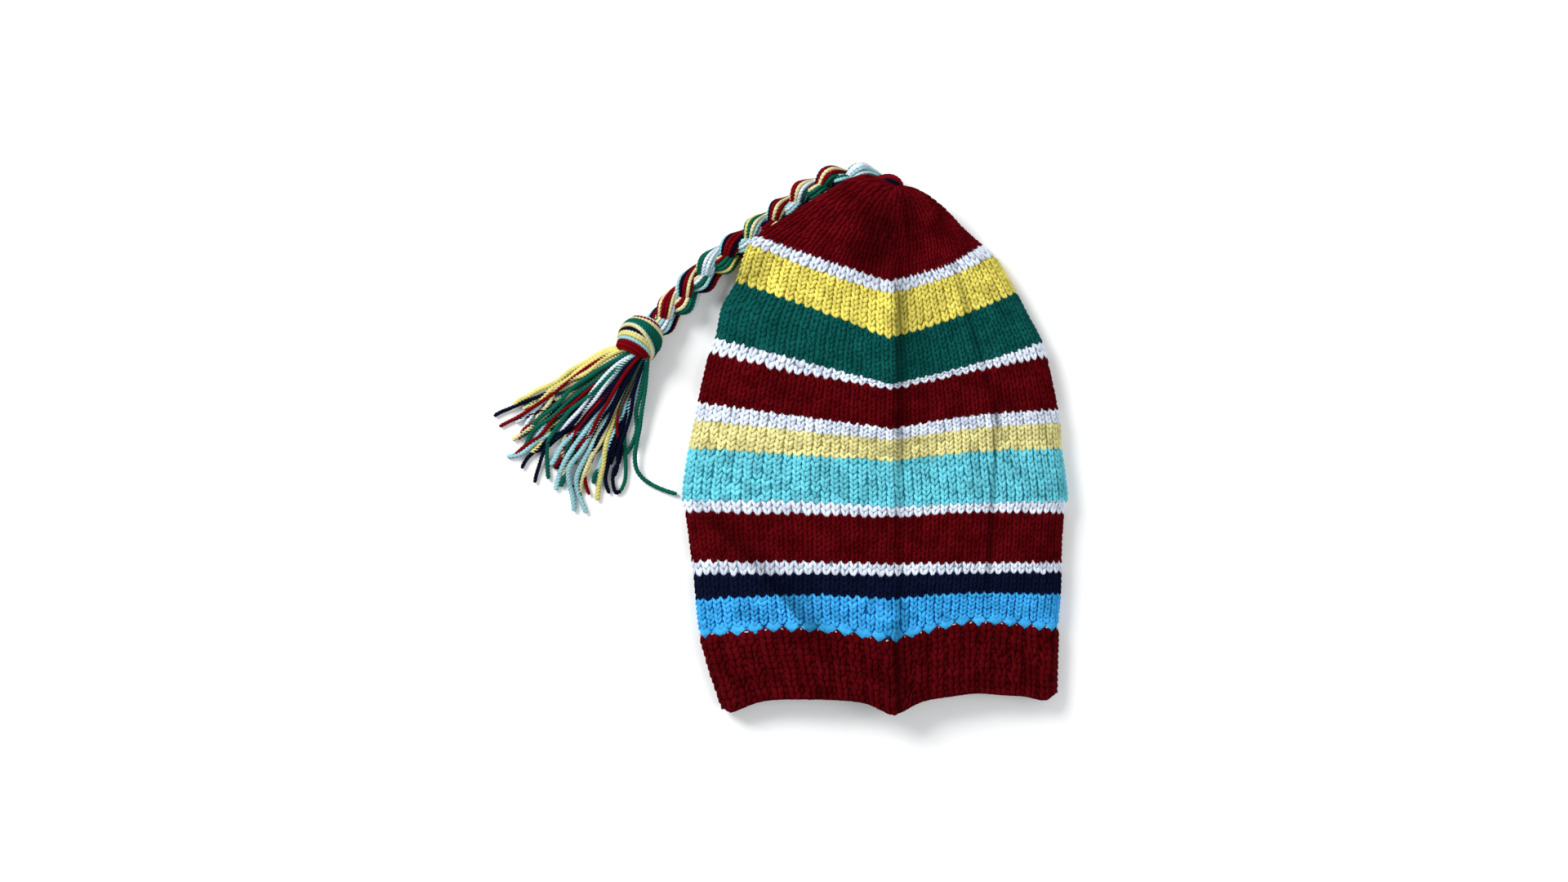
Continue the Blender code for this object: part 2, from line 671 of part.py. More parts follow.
def build_tassel():
    """The tassel: a head under the knot with the locks of the fan joined to it, cut clear of the knot."""
    locks = bpy.data.collections.new("tassel_locks")
    bpy.context.scene.collection.children.link(locks)
    for high, count in ((False, LOW_LOCKS), (True, HIGH_LOCKS)):
        for k in range(count):
            share = k / (count - 1) if not high else (k + 0.5) / count
            points, radii = lock_route(share, high)
            lock = bpy.data.objects.new("lock", lock_mesh(points, radii))
            lock.hide_render = True
            lock.display_type = "WIRE"
            locks.objects.link(lock)
    size = TASSEL_HEAD_LENGTH
    place = Vector((*plan_place(TASSEL_PLACE.x, TASSEL_PLACE.y), size / 2.0 + CLEARANCE))
    mesh = rounded_lump((size, size, size), place, "tassel")
    tassel = add_object("tassel", mesh, [material("mixed_yarn_tassel", "9AA77E", 0.9)])
    union = add_boolean(tassel, "UNION", "locks")
    union.operand_type = "COLLECTION"
    union.collection = locks
    sizes = [side + 2.0 * CLEARANCE for side in (KNOT_WIDTH, KNOT_LENGTH, KNOT_HEIGHT)]
    seat = add_cutter("knot_seat", rounded_lump(sizes, knot_centre(), "knot_seat"))
    add_boolean(tassel, "DIFFERENCE", "seat").object = seat
    return tassel


def clear_scene():
    """Start from an empty scene."""
    for item in list(bpy.data.objects):
        bpy.data.objects.remove(item, do_unlink=True)


clear_scene()
build_brim()
build_body()
build_crown()
build_braid()
build_knot()
build_tassel()
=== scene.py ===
"""Knitted slouchy beanie, lying flat on its back: maroon rib, striped body and gathered crown, with a
three-strand braid from the tip, an overhand knot and a yarn tassel."""

import math
import random
from collections import namedtuple

import bmesh
import bpy
import numpy as np
from mathutils import Matrix, Vector


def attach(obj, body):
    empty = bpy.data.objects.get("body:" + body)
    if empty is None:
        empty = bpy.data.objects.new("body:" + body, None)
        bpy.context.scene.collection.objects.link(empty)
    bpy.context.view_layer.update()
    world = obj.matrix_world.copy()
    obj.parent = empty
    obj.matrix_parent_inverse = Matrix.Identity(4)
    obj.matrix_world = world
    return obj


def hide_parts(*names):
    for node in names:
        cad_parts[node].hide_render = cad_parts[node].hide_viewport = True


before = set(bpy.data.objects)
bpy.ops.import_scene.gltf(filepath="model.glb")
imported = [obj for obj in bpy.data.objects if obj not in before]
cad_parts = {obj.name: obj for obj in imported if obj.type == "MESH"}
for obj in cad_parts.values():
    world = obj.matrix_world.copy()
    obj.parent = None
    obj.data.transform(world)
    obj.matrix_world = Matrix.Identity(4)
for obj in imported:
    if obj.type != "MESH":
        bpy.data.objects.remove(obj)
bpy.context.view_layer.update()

# The table and the camera. The hat lies on a pale paper sheet and is photographed from straight above,
# with a large soft light from the upper left and a weaker one from the right.
PHOTO_PIXELS = (1920, 1080)
PIXEL = 0.000505
HAT_PIXEL = (1071.5, 544.5)
CAMERA_HEIGHT = 1.6
FOCUS_HEIGHT = 0.010
SENSOR_WIDTH = 36.0
SHEET_SIZE = 6.0
ROOM_LIGHT = 0.50


def linear(colour):
    """Linear RGBA of an sRGB hex colour."""
    shares = [int(colour[k:k + 2], 16) / 255.0 for k in (0, 2, 4)]
    return (*[s / 12.92 if s <= 0.04045 else ((s + 0.055) / 1.055) ** 2.4 for s in shares], 1.0)


def add_node(tree, kind, settings, links):
    """A node with its settings, each a property or an input's own value, and its incoming links."""
    node = tree.nodes.new(kind)
    for name, value in settings.items():
        if isinstance(name, str) and hasattr(node, name):
            setattr(node, name, value)
        else:
            node.inputs[name].default_value = value
    for name, source in links.items():
        tree.links.new(source, node.inputs[name])
    return node


def new_material(name, roughness):
    """A Principled material, and its tree and shader."""
    made = bpy.data.materials.new(name)
    made.use_nodes = True
    tree = made.node_tree
    shader = tree.nodes["Principled BSDF"]
    shader.inputs["Roughness"].default_value = roughness
    return made, tree, shader


def mesh_of(name, shape):
    """The mesh of a worked shape, which is freed."""
    mesh = bpy.data.meshes.new(name)
    shape.to_mesh(mesh)
    shape.free()
    return mesh


def add_piece(name, mesh, materials):
    """Link a mesh to the scene under a name, with its materials."""
    for made in materials:
        mesh.materials.append(made)
    piece = bpy.data.objects.new(name, mesh)
    bpy.context.scene.collection.objects.link(piece)
    return piece


# Matt uncoated paper: an even pale tone with a very faint cloud and no gloss, on which the hat's soft
# shadow shows
paper, tree, shader = new_material("matt_white_paper", 0.85)
place = add_node(tree, "ShaderNodeTexCoord", {}, {})
cloud = add_node(
    tree, "ShaderNodeTexNoise", {"Scale": 3.0, "Detail": 2.0}, {"Vector": place.outputs["Object"]}
)
tone = add_node(
    tree, "ShaderNodeMix", {"data_type": "RGBA", 6: linear("F1F1F0"), 7: linear("F8F8F7")},
    {"Factor": cloud.outputs["Fac"]},
)
tree.links.new(tone.outputs[2], shader.inputs["Base Color"])
sheet = bmesh.new()
bmesh.ops.create_grid(sheet, x_segments=1, y_segments=1, size=SHEET_SIZE / 2.0)
add_piece("paper_sheet", mesh_of("paper_sheet", sheet), [paper])

camera_data = bpy.data.cameras.new("camera")
camera_data.sensor_width = SENSOR_WIDTH
camera_data.lens = SENSOR_WIDTH * (CAMERA_HEIGHT - FOCUS_HEIGHT) / (PHOTO_PIXELS[0] * PIXEL)
camera = bpy.data.objects.new("camera", camera_data)
bpy.context.scene.collection.objects.link(camera)
camera.location = (
    (PHOTO_PIXELS[0] / 2.0 - HAT_PIXEL[0]) * PIXEL,
    (HAT_PIXEL[1] - PHOTO_PIXELS[1] / 2.0) * PIXEL,
    CAMERA_HEIGHT,
)
bpy.context.scene.camera = camera

Softbox = namedtuple("Softbox", "name x y z size power")
SOFTBOXES = (
    Softbox("key_softbox", -0.95, 0.80, 0.95, 0.70, 27.5),
    Softbox("fill_softbox", 1.10, -0.30, 1.40, 1.20, 12.5),
)
for box in SOFTBOXES:
    light = bpy.data.lights.new(box.name, "AREA")
    light.size = box.size
    light.energy = box.power
    lamp = bpy.data.objects.new(box.name, light)
    lamp.location = (box.x, box.y, box.z)
    lamp.rotation_euler = (-lamp.location).to_track_quat("-Z", "Y").to_euler()
    bpy.context.scene.collection.objects.link(lamp)
world = bpy.data.worlds.new("studio")
world.use_nodes = True
world.node_tree.nodes["Background"].inputs["Color"].default_value = linear("F4F7FB")
world.node_tree.nodes["Background"].inputs["Strength"].default_value = ROOM_LIGHT
bpy.context.scene.world = world
bpy.context.scene.view_settings.view_transform = "Standard"


# The braid: three strands of twelve worsted yarns each, in the colours of all the stripes, plaited flat
# and sewn under the crown's tip. It lies on the table round the tip and down past the hat's left side.
TAU = 2.0 * math.pi
HAT_WIDTH = 0.238
HAT_LENGTH = 0.333
BRAID_DIAMETER = 0.0172
CLEARANCE = 0.0004
YARN_DIAMETER = 0.0033
PLY_TURN = 0.0066
YARN_PLIES = 3
PLY_CORNERS = 3
PLY_GROOVE = 0.38
STRAND_PERIOD = 0.0546
PLAIT_START = -0.051
STRAND_SWAY = 0.0042
STRAND_LIFT = 0.0036
STRAND_CORE = 0.0040
STRAND_YARN_WIDTH = 0.90
STRAND_SWELL = 0.32
STRAND_TWIST = 0.100
ROLL_AT_TIP = math.radians(-24.0)
ROLL_AT_KNOT = math.radians(20.0)
EDGE_FULLNESS = 0.12
DRAWN_IN = 0.014
DRAWN_SHARE = 0.4
YARN_STEP = 0.0007
CURVE_SAMPLES = 600
YARN_END_WIDTH = 0.70
BRAID_REST = 0.0086
# places in plan are given as shares of the hat's width and length
PlanPoint = namedtuple("PlanPoint", "x y")
BRAID_ROUTE = (
    PlanPoint(0.044, 0.951),
    PlanPoint(0.037, 0.962),
    PlanPoint(0.022, 0.977),
    PlanPoint(-0.003, 0.988),
    PlanPoint(-0.035, 0.991),
    PlanPoint(-0.067, 0.991),
    PlanPoint(-0.124, 0.983),
    PlanPoint(-0.174, 0.963),
    PlanPoint(-0.231, 0.931),
    PlanPoint(-0.292, 0.900),
    PlanPoint(-0.340, 0.873),
    PlanPoint(-0.382, 0.853),
    PlanPoint(-0.455, 0.810),
    PlanPoint(-0.511, 0.766),
    PlanPoint(-0.573, 0.720),
)
YARN_COLOURS = {
    "maroon": "68030A",
    "cream": "C6BE90",
    "green": "0A5243",
    "aqua": "86B2B8",
    "white": "C2CDD8",
    "navy": "080C20",
    "yellow": "C2B96C",
}
# the yarns of each strand, in their order round it
STRANDS = (
    "green yellow green cream aqua white aqua navy maroon cream maroon green".split(),
    "maroon maroon navy maroon cream maroon maroon cream white green aqua navy".split(),
    "aqua white aqua navy maroon cream maroon cream green green white white".split(),
)


def finished_mesh(piece):
    """The mesh that an object's curve or modifiers make; the object itself is removed."""
    graph = bpy.context.evaluated_depsgraph_get()
    mesh = bpy.data.meshes.new_from_object(piece.evaluated_get(graph))
    bpy.data.objects.remove(piece, do_unlink=True)
    return mesh


def plan_place(x_share, y_share):
    """Plan position in metres of shares of the hat's width and length."""
    return x_share * HAT_WIDTH, (y_share - 0.5) * HAT_LENGTH


def read_curve(points, share):
    """Point of a smooth curve through the given points, with share from 0 to 1 of their count."""
    spans = len(points) - 1
    k = min(int(share * spans), spans - 1)
    t = share * spans - k
    before = points[max(k - 1, 0)]
    start = points[k]
    end = points[k + 1]
    after = points[min(k + 2, spans)]
    bend = (end - start) * (3.0 * t * t - 2.0 * t * t * t)
    leave = (end - before) / 2.0 * (t - 2.0 * t * t + t * t * t)
    arrive = (after - start) / 2.0 * (t * t * t - t * t)
    return start + bend + leave + arrive


def even_curve(points, step):
    """Points a step apart along the smooth curve through the given ones, ends included."""
    fine = [read_curve(points, k / CURVE_SAMPLES) for k in range(CURVE_SAMPLES + 1)]
    lengths = [0.0]
    for a, b in zip(fine, fine[1:]):
        lengths.append(lengths[-1] + (b - a).length)
    count = max(round(lengths[-1] / step), 2)
    result = [fine[0]]
    k = 0
    for place in range(1, count):
        goal = lengths[-1] * place / count
        while lengths[k + 1] < goal:
            k += 1
        result.append(fine[k].lerp(fine[k + 1], (goal - lengths[k]) / (lengths[k + 1] - lengths[k])))
    return result + [fine[-1]], lengths[-1]


# How wool takes the light: HAZE is the fuzz's pale share, LIT_GAIN how much a standing fibre lightens,
# FIBRE_SHARE and DYE_MEAN what fibres and dye add to the tone, and FOLD_DARKNESS what the painted shade of
# a fold leaves of it
HAZE = 0.05
LIT_GAIN = 2.2
FIBRE_SHARE = 0.5
DYE_MEAN = 0.25
FOLD_DARKNESS = 0.30
WOOL_ROUGHNESS = 0.95


def wool(name, colour, lift=0.16, drop=0.26, uneven=1.0):
    """Spun wool and acrylic yarn: matt, a little lighter where its fibres stand up and darker between them,
    with a fine fibrous bump and a weak sheen from the fuzz. Each stitch has its own tint and painted fold
    shade."""
    made, tree, shader = new_material(name, WOOL_ROUGHNESS)
    base = linear(colour)
    haze = HAZE * sum(base[:3]) / 3.0
    light = (*[min(c * (1.0 + LIT_GAIN * lift) + haze, 1.0) for c in base[:3]], 1.0)
    dark = (*[c * (1.0 - drop) for c in base[:3]], 1.0)
    place = add_node(tree, "ShaderNodeTexCoord", {}, {})
    # fibres are 0.02 mm thick, drawn 0.6 mm coarse so that they show
    fibre = add_node(
        tree, "ShaderNodeTexNoise", {"Scale": 1700.0, "Detail": 4.0, "Roughness": 0.7},
        {"Vector": place.outputs["Object"]},
    )
    # the dye takes unevenly over a centimetre or so
    dye = add_node(
        tree, "ShaderNodeTexNoise", {"Scale": 90.0, "Detail": 2.0}, {"Vector": place.outputs["Object"]}
    )
    own = add_node(tree, "ShaderNodeAttribute", {"attribute_name": "tint"}, {})
    mixed = add_node(
        tree, "ShaderNodeMath", {"operation": "MULTIPLY_ADD", 1: FIBRE_SHARE},
        {0: fibre.outputs["Fac"], 2: own.outputs["Fac"]},
    )
    patchy = add_node(
        tree, "ShaderNodeMath",
        {"operation": "MULTIPLY_ADD", 1: uneven, 2: DYE_MEAN - 0.5 * uneven}, {0: dye.outputs["Fac"]},
    )
    share = add_node(
        tree, "ShaderNodeMath", {"operation": "ADD", "use_clamp": True},
        {0: patchy.outputs["Value"], 1: mixed.outputs["Value"]},
    )
    tone = add_node(
        tree, "ShaderNodeMix", {"data_type": "RGBA", 6: dark, 7: light}, {"Factor": share.outputs["Value"]}
    )
    # painted shade: where the cloth folds away from the light, its colour is darkened towards a deep copy
    # of itself
    shade = add_node(tree, "ShaderNodeAttribute", {"attribute_name": "shade"}, {})
    painted_shade_colour = (*[c * FOLD_DARKNESS for c in base[:3]], 1.0)
    fold_shaded_tone = add_node(
        tree, "ShaderNodeMix", {"data_type": "RGBA", 7: painted_shade_colour},
        {"Factor": shade.outputs["Fac"], 6: tone.outputs[2]},
    )
    bump = add_node(
        tree, "ShaderNodeBump", {"Strength": 0.55, "Distance": 0.0004}, {"Height": fibre.outputs["Fac"]}
    )
    tree.links.new(fold_shaded_tone.outputs[2], shader.inputs["Base Color"])
    tree.links.new(bump.outputs["Normal"], shader.inputs["Normal"])
    shader.inputs["Specular IOR Level"].default_value = 0.02
    shader.inputs["Sheen Weight"].default_value = 0.06
    shader.inputs["Sheen Roughness"].default_value = 0.5
    shader.inputs["Sheen Tint"].default_value = light
    return made


# Worsted yarn of wool and acrylic, three plies spun together and dyed before it is wound: a soft matt
# colour that is a little deeper in the grooves between the plies
YARN_NAMES = list(YARN_COLOURS)
YARN_MATERIALS = [wool("wool_yarn_" + name, colour) for name, colour in YARN_COLOURS.items()]

# A yarn's cross section: three plies laid side by side, which the turning of the section lays as a rope
section_data = bpy.data.curves.new("ply_section", "CURVE")
section_data.dimensions = "2D"
outline = section_data.splines.new("POLY")
corners = YARN_PLIES * PLY_CORNERS
outline.points.add(corners - 1)
outline.use_cyclic_u = True
for k, point in enumerate(outline.points):
    groove = PLY_GROOVE * (0.5 - 0.5 * math.cos(TAU * k / PLY_CORNERS + TAU / 6.0))
    radius = YARN_DIAMETER / 2.0 * (1.0 - groove)
    point.co = (radius * math.cos(TAU * k / corners), radius * math.sin(TAU * k / corners), 0.0, 1.0)
ply_section = bpy.data.objects.new("ply_section", section_data)
bpy.context.scene.collection.objects.link(ply_section)


def new_yarns(name):
    """An empty bundle of yarns, each to be added as a line that the ply section follows."""
    bundle = bpy.data.curves.new(name, "CURVE")
    bundle.dimensions = "3D"
    bundle.bevel_mode = "OBJECT"
    bundle.bevel_object = ply_section
    bundle.use_fill_caps = True
    for made in YARN_MATERIALS:
        bundle.materials.append(made)
    return bundle


def lay_yarn(bundle, points, colour, taper=0, closed=False, width=1.0):
    """One yarn through the points, turning as its plies do, thinner over its last few points."""
    spline = bundle.splines.new("POLY")
    spline.points.add(len(points) - 1)
    spline.material_index = YARN_NAMES.index(colour)
    spline.use_cyclic_u = closed
    run = 0.0
    last = len(points) - 1
    for k, (slot, point) in enumerate(zip(spline.points, points)):
        run += (point - points[k - 1]).length if k else 0.0
        slot.co = (*point, 1.0)
        slot.tilt = TAU * run / PLY_TURN
        thin = min(1.0, YARN_END_WIDTH + (1.0 - YARN_END_WIDTH) * (last - k) / taper) if taper else 1.0
        slot.radius = width * thin


def store_values(mesh, name, values):
    """Store one number for each point of a mesh, which its wool reads."""
    stored = mesh.attributes.new(name, "FLOAT", "POINT")
    stored.data.foreach_set("value", values)


def bundle_piece(name, bundle):
    """Turn a bundle of yarns into one mesh piece, smooth shaded."""
    holder = bpy.data.objects.new(name + "_line", bundle)
    bpy.context.scene.collection.objects.link(holder)
    mesh = finished_mesh(holder)
    mesh.name = name
    mesh.shade_smooth()
    store_values(mesh, "tint", np.zeros(len(mesh.vertices)))
    return add_piece(name, mesh, [])


route = [Vector((*plan_place(point.x, point.y), BRAID_REST + CLEARANCE)) for point in BRAID_ROUTE]
braid_line, braid_length = even_curve(route, YARN_STEP)
braid = new_yarns("braid_yarns")
for strand, colours in enumerate(STRANDS):
    for k, colour in enumerate(colours):
        points = []
        for place, here in enumerate(braid_line):
            run = braid_length * place / (len(braid_line) - 1)
            way = braid_line[min(place + 1, len(braid_line) - 1)] - braid_line[max(place - 1, 0)]
            side = way.normalized().cross(Vector((0.0, 0.0, 1.0)))
            phase = TAU * (strand / len(STRANDS) - run / STRAND_PERIOD + PLAIT_START)
            around = TAU * (k / len(colours) + run / STRAND_TWIST)
            core = STRAND_CORE * (1.0 + STRAND_SWELL * math.sin(2.0 * phase))
            sway = (1.0 + EDGE_FULLNESS) * math.sin(phase) + EDGE_FULLNESS * math.sin(3.0 * phase)
            sway *= 1.0 - DRAWN_SHARE * max(1.0 - (braid_length - run) / DRAWN_IN, 0.0)
            out = STRAND_SWAY * sway + core * math.cos(around)
            up = STRAND_LIFT * math.sin(2.0 * phase) + core * math.sin(around)
            roll = ROLL_AT_TIP + (ROLL_AT_KNOT - ROLL_AT_TIP) * run / braid_length
            level = out * math.cos(roll) - up * math.sin(roll)
            rise = out * math.sin(roll) + up * math.cos(roll)
            points.append(here + side * level + Vector((0.0, 0.0, rise)))
        lay_yarn(braid, points, colour, width=STRAND_YARN_WIDTH)
braid_piece = bundle_piece("braid_yarns", braid)
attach(braid_piece, "root")
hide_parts("braid")

# The knot: the braid's yarns tied in an overhand knot, which shows as a stack of wrapped yarns round a
# fat lump, with a few yarns that cross over the wraps down its right side.
KNOT_SIZE = (0.0270, 0.0315, 0.0250)
KNOT_PLACE = PlanPoint(-0.610, 0.696)
KNOT_LEAN = math.radians(-30.0)
KNOT_FULLNESS = 0.42
LAST_WRAP = 0.97
WRAP_POINTS = 150
Wrap = namedtuple("Wrap", "colour left top right rise")
WRAPS = (
    Wrap("white", 0.74, 0.93, 0.78, 0.0),
    Wrap("maroon", 0.66, 0.88, 0.70, 0.0002),
    Wrap("cream", 0.57, 0.82, 0.60, 0.0),
    Wrap("cream", 0.49, 0.75, 0.50, 0.0),
    Wrap("green", 0.40, 0.68, 0.30, 0.0004),
    Wrap("green", 0.30, 0.59, 0.18, 0.0007),
    Wrap("green", 0.20, 0.50, 0.06, 0.0008),
    Wrap("green", 0.10, 0.42, -0.06, 0.0005),
    Wrap("navy", -0.17, 0.22, -0.24, 0.0006),
    Wrap("cream", -0.28, 0.11, -0.32, 0.0002),
    Wrap("yellow", -0.37, 0.00, -0.40, 0.0005),
    Wrap("aqua", -0.50, -0.17, -0.51, 0.0),
    Wrap("maroon", -0.62, -0.34, -0.62, 0.0002),
    Wrap("maroon", -0.71, -0.48, -0.71, 0.0007),
    Wrap("maroon", -0.81, -0.64, -0.81, 0.0),
    Wrap("green", 0.08, 0.42, -0.38, 0.0010),
    Wrap("aqua", 0.00, 0.36, -0.48, 0.0008),
    Wrap("cream", -0.06, 0.30, -0.60, 0.0013),
)
yarn_radius = YARN_DIAMETER / 2.0
knot_middle = Vector((*plan_place(KNOT_PLACE.x, KNOT_PLACE.y), KNOT_SIZE[2] / 2.0 + CLEARANCE))
knot_turn = Matrix.Rotation(KNOT_LEAN, 3, "Z")


def knot_point(along, around, rise):
    """A yarn's place on the knot: along from 1 at the braid to -1 at the tassel, around in radians from
    the right side over the top."""
    thin = max(1.0 - along * along, 0.0) ** KNOT_FULLNESS
    across, length, height = [side / 2.0 - yarn_radius + rise for side in KNOT_SIZE]
    flat = Vector((across * thin * math.cos(around), length * along, height * thin * math.sin(around)))
    return knot_middle + knot_turn @ flat


knot = new_yarns("knot_yarns")
for wrap in WRAPS:
    points = []
    for place in range(WRAP_POINTS):
        around = TAU * place / WRAP_POINTS
        middle = (wrap.left + wrap.right) / 2.0
        along = middle + (wrap.top - middle) * math.sin(around)
        along += (wrap.right - wrap.left) / 2.0 * math.cos(around)
        points.append(knot_point(max(min(along, LAST_WRAP), -LAST_WRAP), around, wrap.rise))
    lay_yarn(knot, points, wrap.colour, closed=True)
knot_piece = bundle_piece("knot_yarns", knot)
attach(knot_piece, "root")
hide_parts("knot")


# The tassel: the braid's worsted yarns go on below the knot as cut ends, which only the knot holds
# together. They lie fanned out on the table, some over the others, and bend as they fell.
TASSEL_ROOT = PlanPoint(-0.6065, 0.668)
ROOT_SPREAD = 0.0055
TASSEL_STEP = 0.0007
BEND_PLACE = 0.65
LAYER_RISE = 0.0026
ROOT_RISE = 0.0080
LAYER_END = 0.9
FAN_MIDDLE = 50.0
FAN_HALF = 35.0
SWAY_PITCHES = (7.0, 14.0, 24.0)
SWAY_TURN = 3.2
# Each row is one yarn: turn is its way from -X towards -Y in degrees, bow how much its root's way differs
# and hook its end's, reach its length on the table in millimetres, and layer how high it lies
TasselYarn = namedtuple("TasselYarn", "colour turn bow hook reach layer")
TASSEL = [
    TasselYarn("yellow", 20.5, -42.0, 7.0, 84.0, 1.4),
    TasselYarn("yellow", 22.5, -40.0, 5.0, 76.0, 2.4),
    TasselYarn("yellow", 24.0, -38.0, 2.0, 60.0, 3.2),
    TasselYarn("cream", 26.0, -34.0, 4.0, 68.0, 1.6),
    TasselYarn("maroon", 26.0, -28.0, 4.0, 98.0, 2.2),
    TasselYarn("navy", 24.5, -30.0, 1.0, 98.0, 1.2),
    TasselYarn("white", 27.0, -14.0, 2.0, 88.0, 0.0),
    TasselYarn("white", 30.0, -14.0, 2.0, 84.0, 0.0),
    TasselYarn("green", 25.0, -12.0, 0.0, 62.0, 2.8),
    TasselYarn("cream", 25.0, -10.0, 10.0, 76.0, 2.4),
    TasselYarn("green", 31.0, -16.0, 5.0, 90.0, 3.0),
    TasselYarn("cream", 34.0, -12.0, 2.0, 96.0, 0.6),
    TasselYarn("green", 36.0, -12.0, 0.0, 92.0, 2.2),
    TasselYarn("maroon", 38.0, -6.0, -1.0, 104.0, 2.0),
    TasselYarn("yellow", 40.0, -10.0, 2.0, 92.0, 0.0),
    TasselYarn("aqua", 43.0, -4.0, -4.0, 105.0, 0.6),
    TasselYarn("green", 41.0, -10.0, 13.0, 97.0, 3.0),
    TasselYarn("navy", 42.0, -12.0, 2.0, 103.0, 0.8),
    TasselYarn("navy", 45.0, -10.0, 6.0, 104.0, 2.2),
    TasselYarn("white", 42.0, -30.0, 3.0, 82.0, 3.2),
    TasselYarn("white", 45.0, -28.0, 3.0, 68.0, 3.6),
    TasselYarn("aqua", 43.0, -22.0, 2.0, 52.0, 3.8),
    TasselYarn("white", 48.0, -14.0, 3.0, 74.0, 1.0),
    TasselYarn("maroon", 50.0, -6.0, 3.0, 78.0, 3.2),
    TasselYarn("navy", 52.0, -6.0, 0.0, 66.0, 3.0),
    TasselYarn("aqua", 53.0, -10.0, 4.0, 100.0, 2.0),
    TasselYarn("cream", 54.0, -8.0, 2.0, 90.0, 0.0),
    TasselYarn("aqua", 57.0, -8.0, 6.0, 106.0, 2.4),
    TasselYarn("green", 60.0, -6.0, 2.0, 96.0, 0.4),
    TasselYarn("aqua", 60.0, -7.0, 7.0, 104.0, 1.6),
    TasselYarn("navy", 58.0, -5.0, 2.0, 58.0, 2.6),
    TasselYarn("cream", 62.0, -6.0, 3.0, 94.0, 2.0),
    TasselYarn("navy", 64.0, -7.0, 2.0, 58.0, 3.2),
    TasselYarn("aqua", 66.0, 2.0, 3.0, 58.0, 2.6),
    TasselYarn("yellow", 66.0, -6.0, 4.0, 94.0, 1.7),
    TasselYarn("maroon", 66.0, -8.0, 8.0, 62.0, 3.6),
    TasselYarn("navy", 70.0, -4.0, 1.0, 80.0, 0.6),
    TasselYarn("aqua", 72.0, 3.0, -2.0, 48.0, 3.2),
    TasselYarn("navy", 71.0, -6.0, 0.0, 70.0, 2.2),
    TasselYarn("navy", 49.0, -14.0, 0.0, 62.0, 4.0),
    TasselYarn("navy", 51.0, -13.0, -2.0, 74.0, 3.8),
    TasselYarn("maroon", 55.0, -14.0, -3.0, 82.0, 4.3),
    TasselYarn("navy", 58.0, -11.0, 2.0, 70.0, 4.1),
    TasselYarn("navy", 61.0, -10.0, 2.0, 78.0, 3.9),
    TasselYarn("green", 65.0, -8.0, 0.0, 58.0, 3.7),
    TasselYarn("navy", 73.0, -6.0, 4.0, 76.0, 3.4),
    TasselYarn("green", 79.0, 2.0, -3.0, 62.0, 3.0),
    TasselYarn("green", 82.3, 3.5, 17.6, 85.2, 2.4),
]
# Shorter yarns lie under these and fill the fan, evenly spread with some chance in each
FILLER_COUNT = 32
FILLER_COLOURS = ("navy", "green", "cream", "navy", "maroon", "green", "navy", "aqua", "green", "navy")
FILLER_START = 28.0
FILLER_SPAN = 44.0
FILLER_PLACES = (0.2, 0.8)
FILLER_BOW = -12.0
FILLER_REACH = 104.0
REACH_FALL = 0.014
FILLER_REACHES = (0.72, 0.93)
FILLER_HOOKS = (-5.0, 7.0)
FILLER_LAYERS = (0.0, 2.0)
random.seed(7)
for k in range(FILLER_COUNT):
    colour = FILLER_COLOURS[k % len(FILLER_COLOURS)]
    turn = FILLER_START + FILLER_SPAN * (k + random.uniform(*FILLER_PLACES)) / FILLER_COUNT
    reach = (FILLER_REACH - REACH_FALL * (turn - FAN_MIDDLE) ** 2) * random.uniform(*FILLER_REACHES)
    hook = random.uniform(*FILLER_HOOKS)
    layer = random.uniform(*FILLER_LAYERS)
    TASSEL.append(TasselYarn(colour, turn, FILLER_BOW, hook, reach, layer))
# the yarns' widths as shares of the plain yarn's
YARN_WIDTHS = {
    "navy": 0.88, "maroon": 0.85, "green": 1.0, "white": 0.95, "aqua": 1.16, "cream": 1.05, "yellow": 1.16,
}
tassel = new_yarns("tassel_yarns")
root_x, root_y = plan_place(TASSEL_ROOT.x, TASSEL_ROOT.y)
for yarn in TASSEL:
    sways = []
    for pitch in SWAY_PITCHES:
        sways.append((random.uniform(-SWAY_TURN, SWAY_TURN), random.uniform(0.0, TAU), pitch))
    spread = (yarn.turn - FAN_MIDDLE) / FAN_HALF * ROOT_SPREAD
    lean = math.radians(FAN_MIDDLE + 90.0)
    start = Vector((root_x - spread * math.cos(lean), root_y - spread * math.sin(lean), 0.0))
    points = []
    steps = round(yarn.reach * 0.001 / TASSEL_STEP)
    for place in range(steps + 1):
        share = place / steps
        turn = yarn.turn + yarn.bow * max(1.0 - share / BEND_PLACE, 0.0) ** 2
        turn += yarn.hook * max((share - BEND_PLACE) / (1.0 - BEND_PLACE), 0.0) ** 2
        for size, at, pitch in sways:
            turn += size * math.sin(at + share * pitch) * share * SWAY_PITCHES[0] / pitch
        out = yarn.reach * 0.001 * share
        fall = max(1.0 - share / LAYER_END, 0.0)
        height = yarn_radius + CLEARANCE + yarn.layer * LAYER_RISE * math.sqrt(fall) + ROOT_RISE * fall ** 4
        way = Vector((math.cos(math.radians(turn)), math.sin(math.radians(turn)), 0.0))
        points.append(start - way * out + Vector((0.0, 0.0, height)))
    lay_yarn(tassel, points, yarn.colour, taper=2, width=YARN_WIDTHS[yarn.colour])
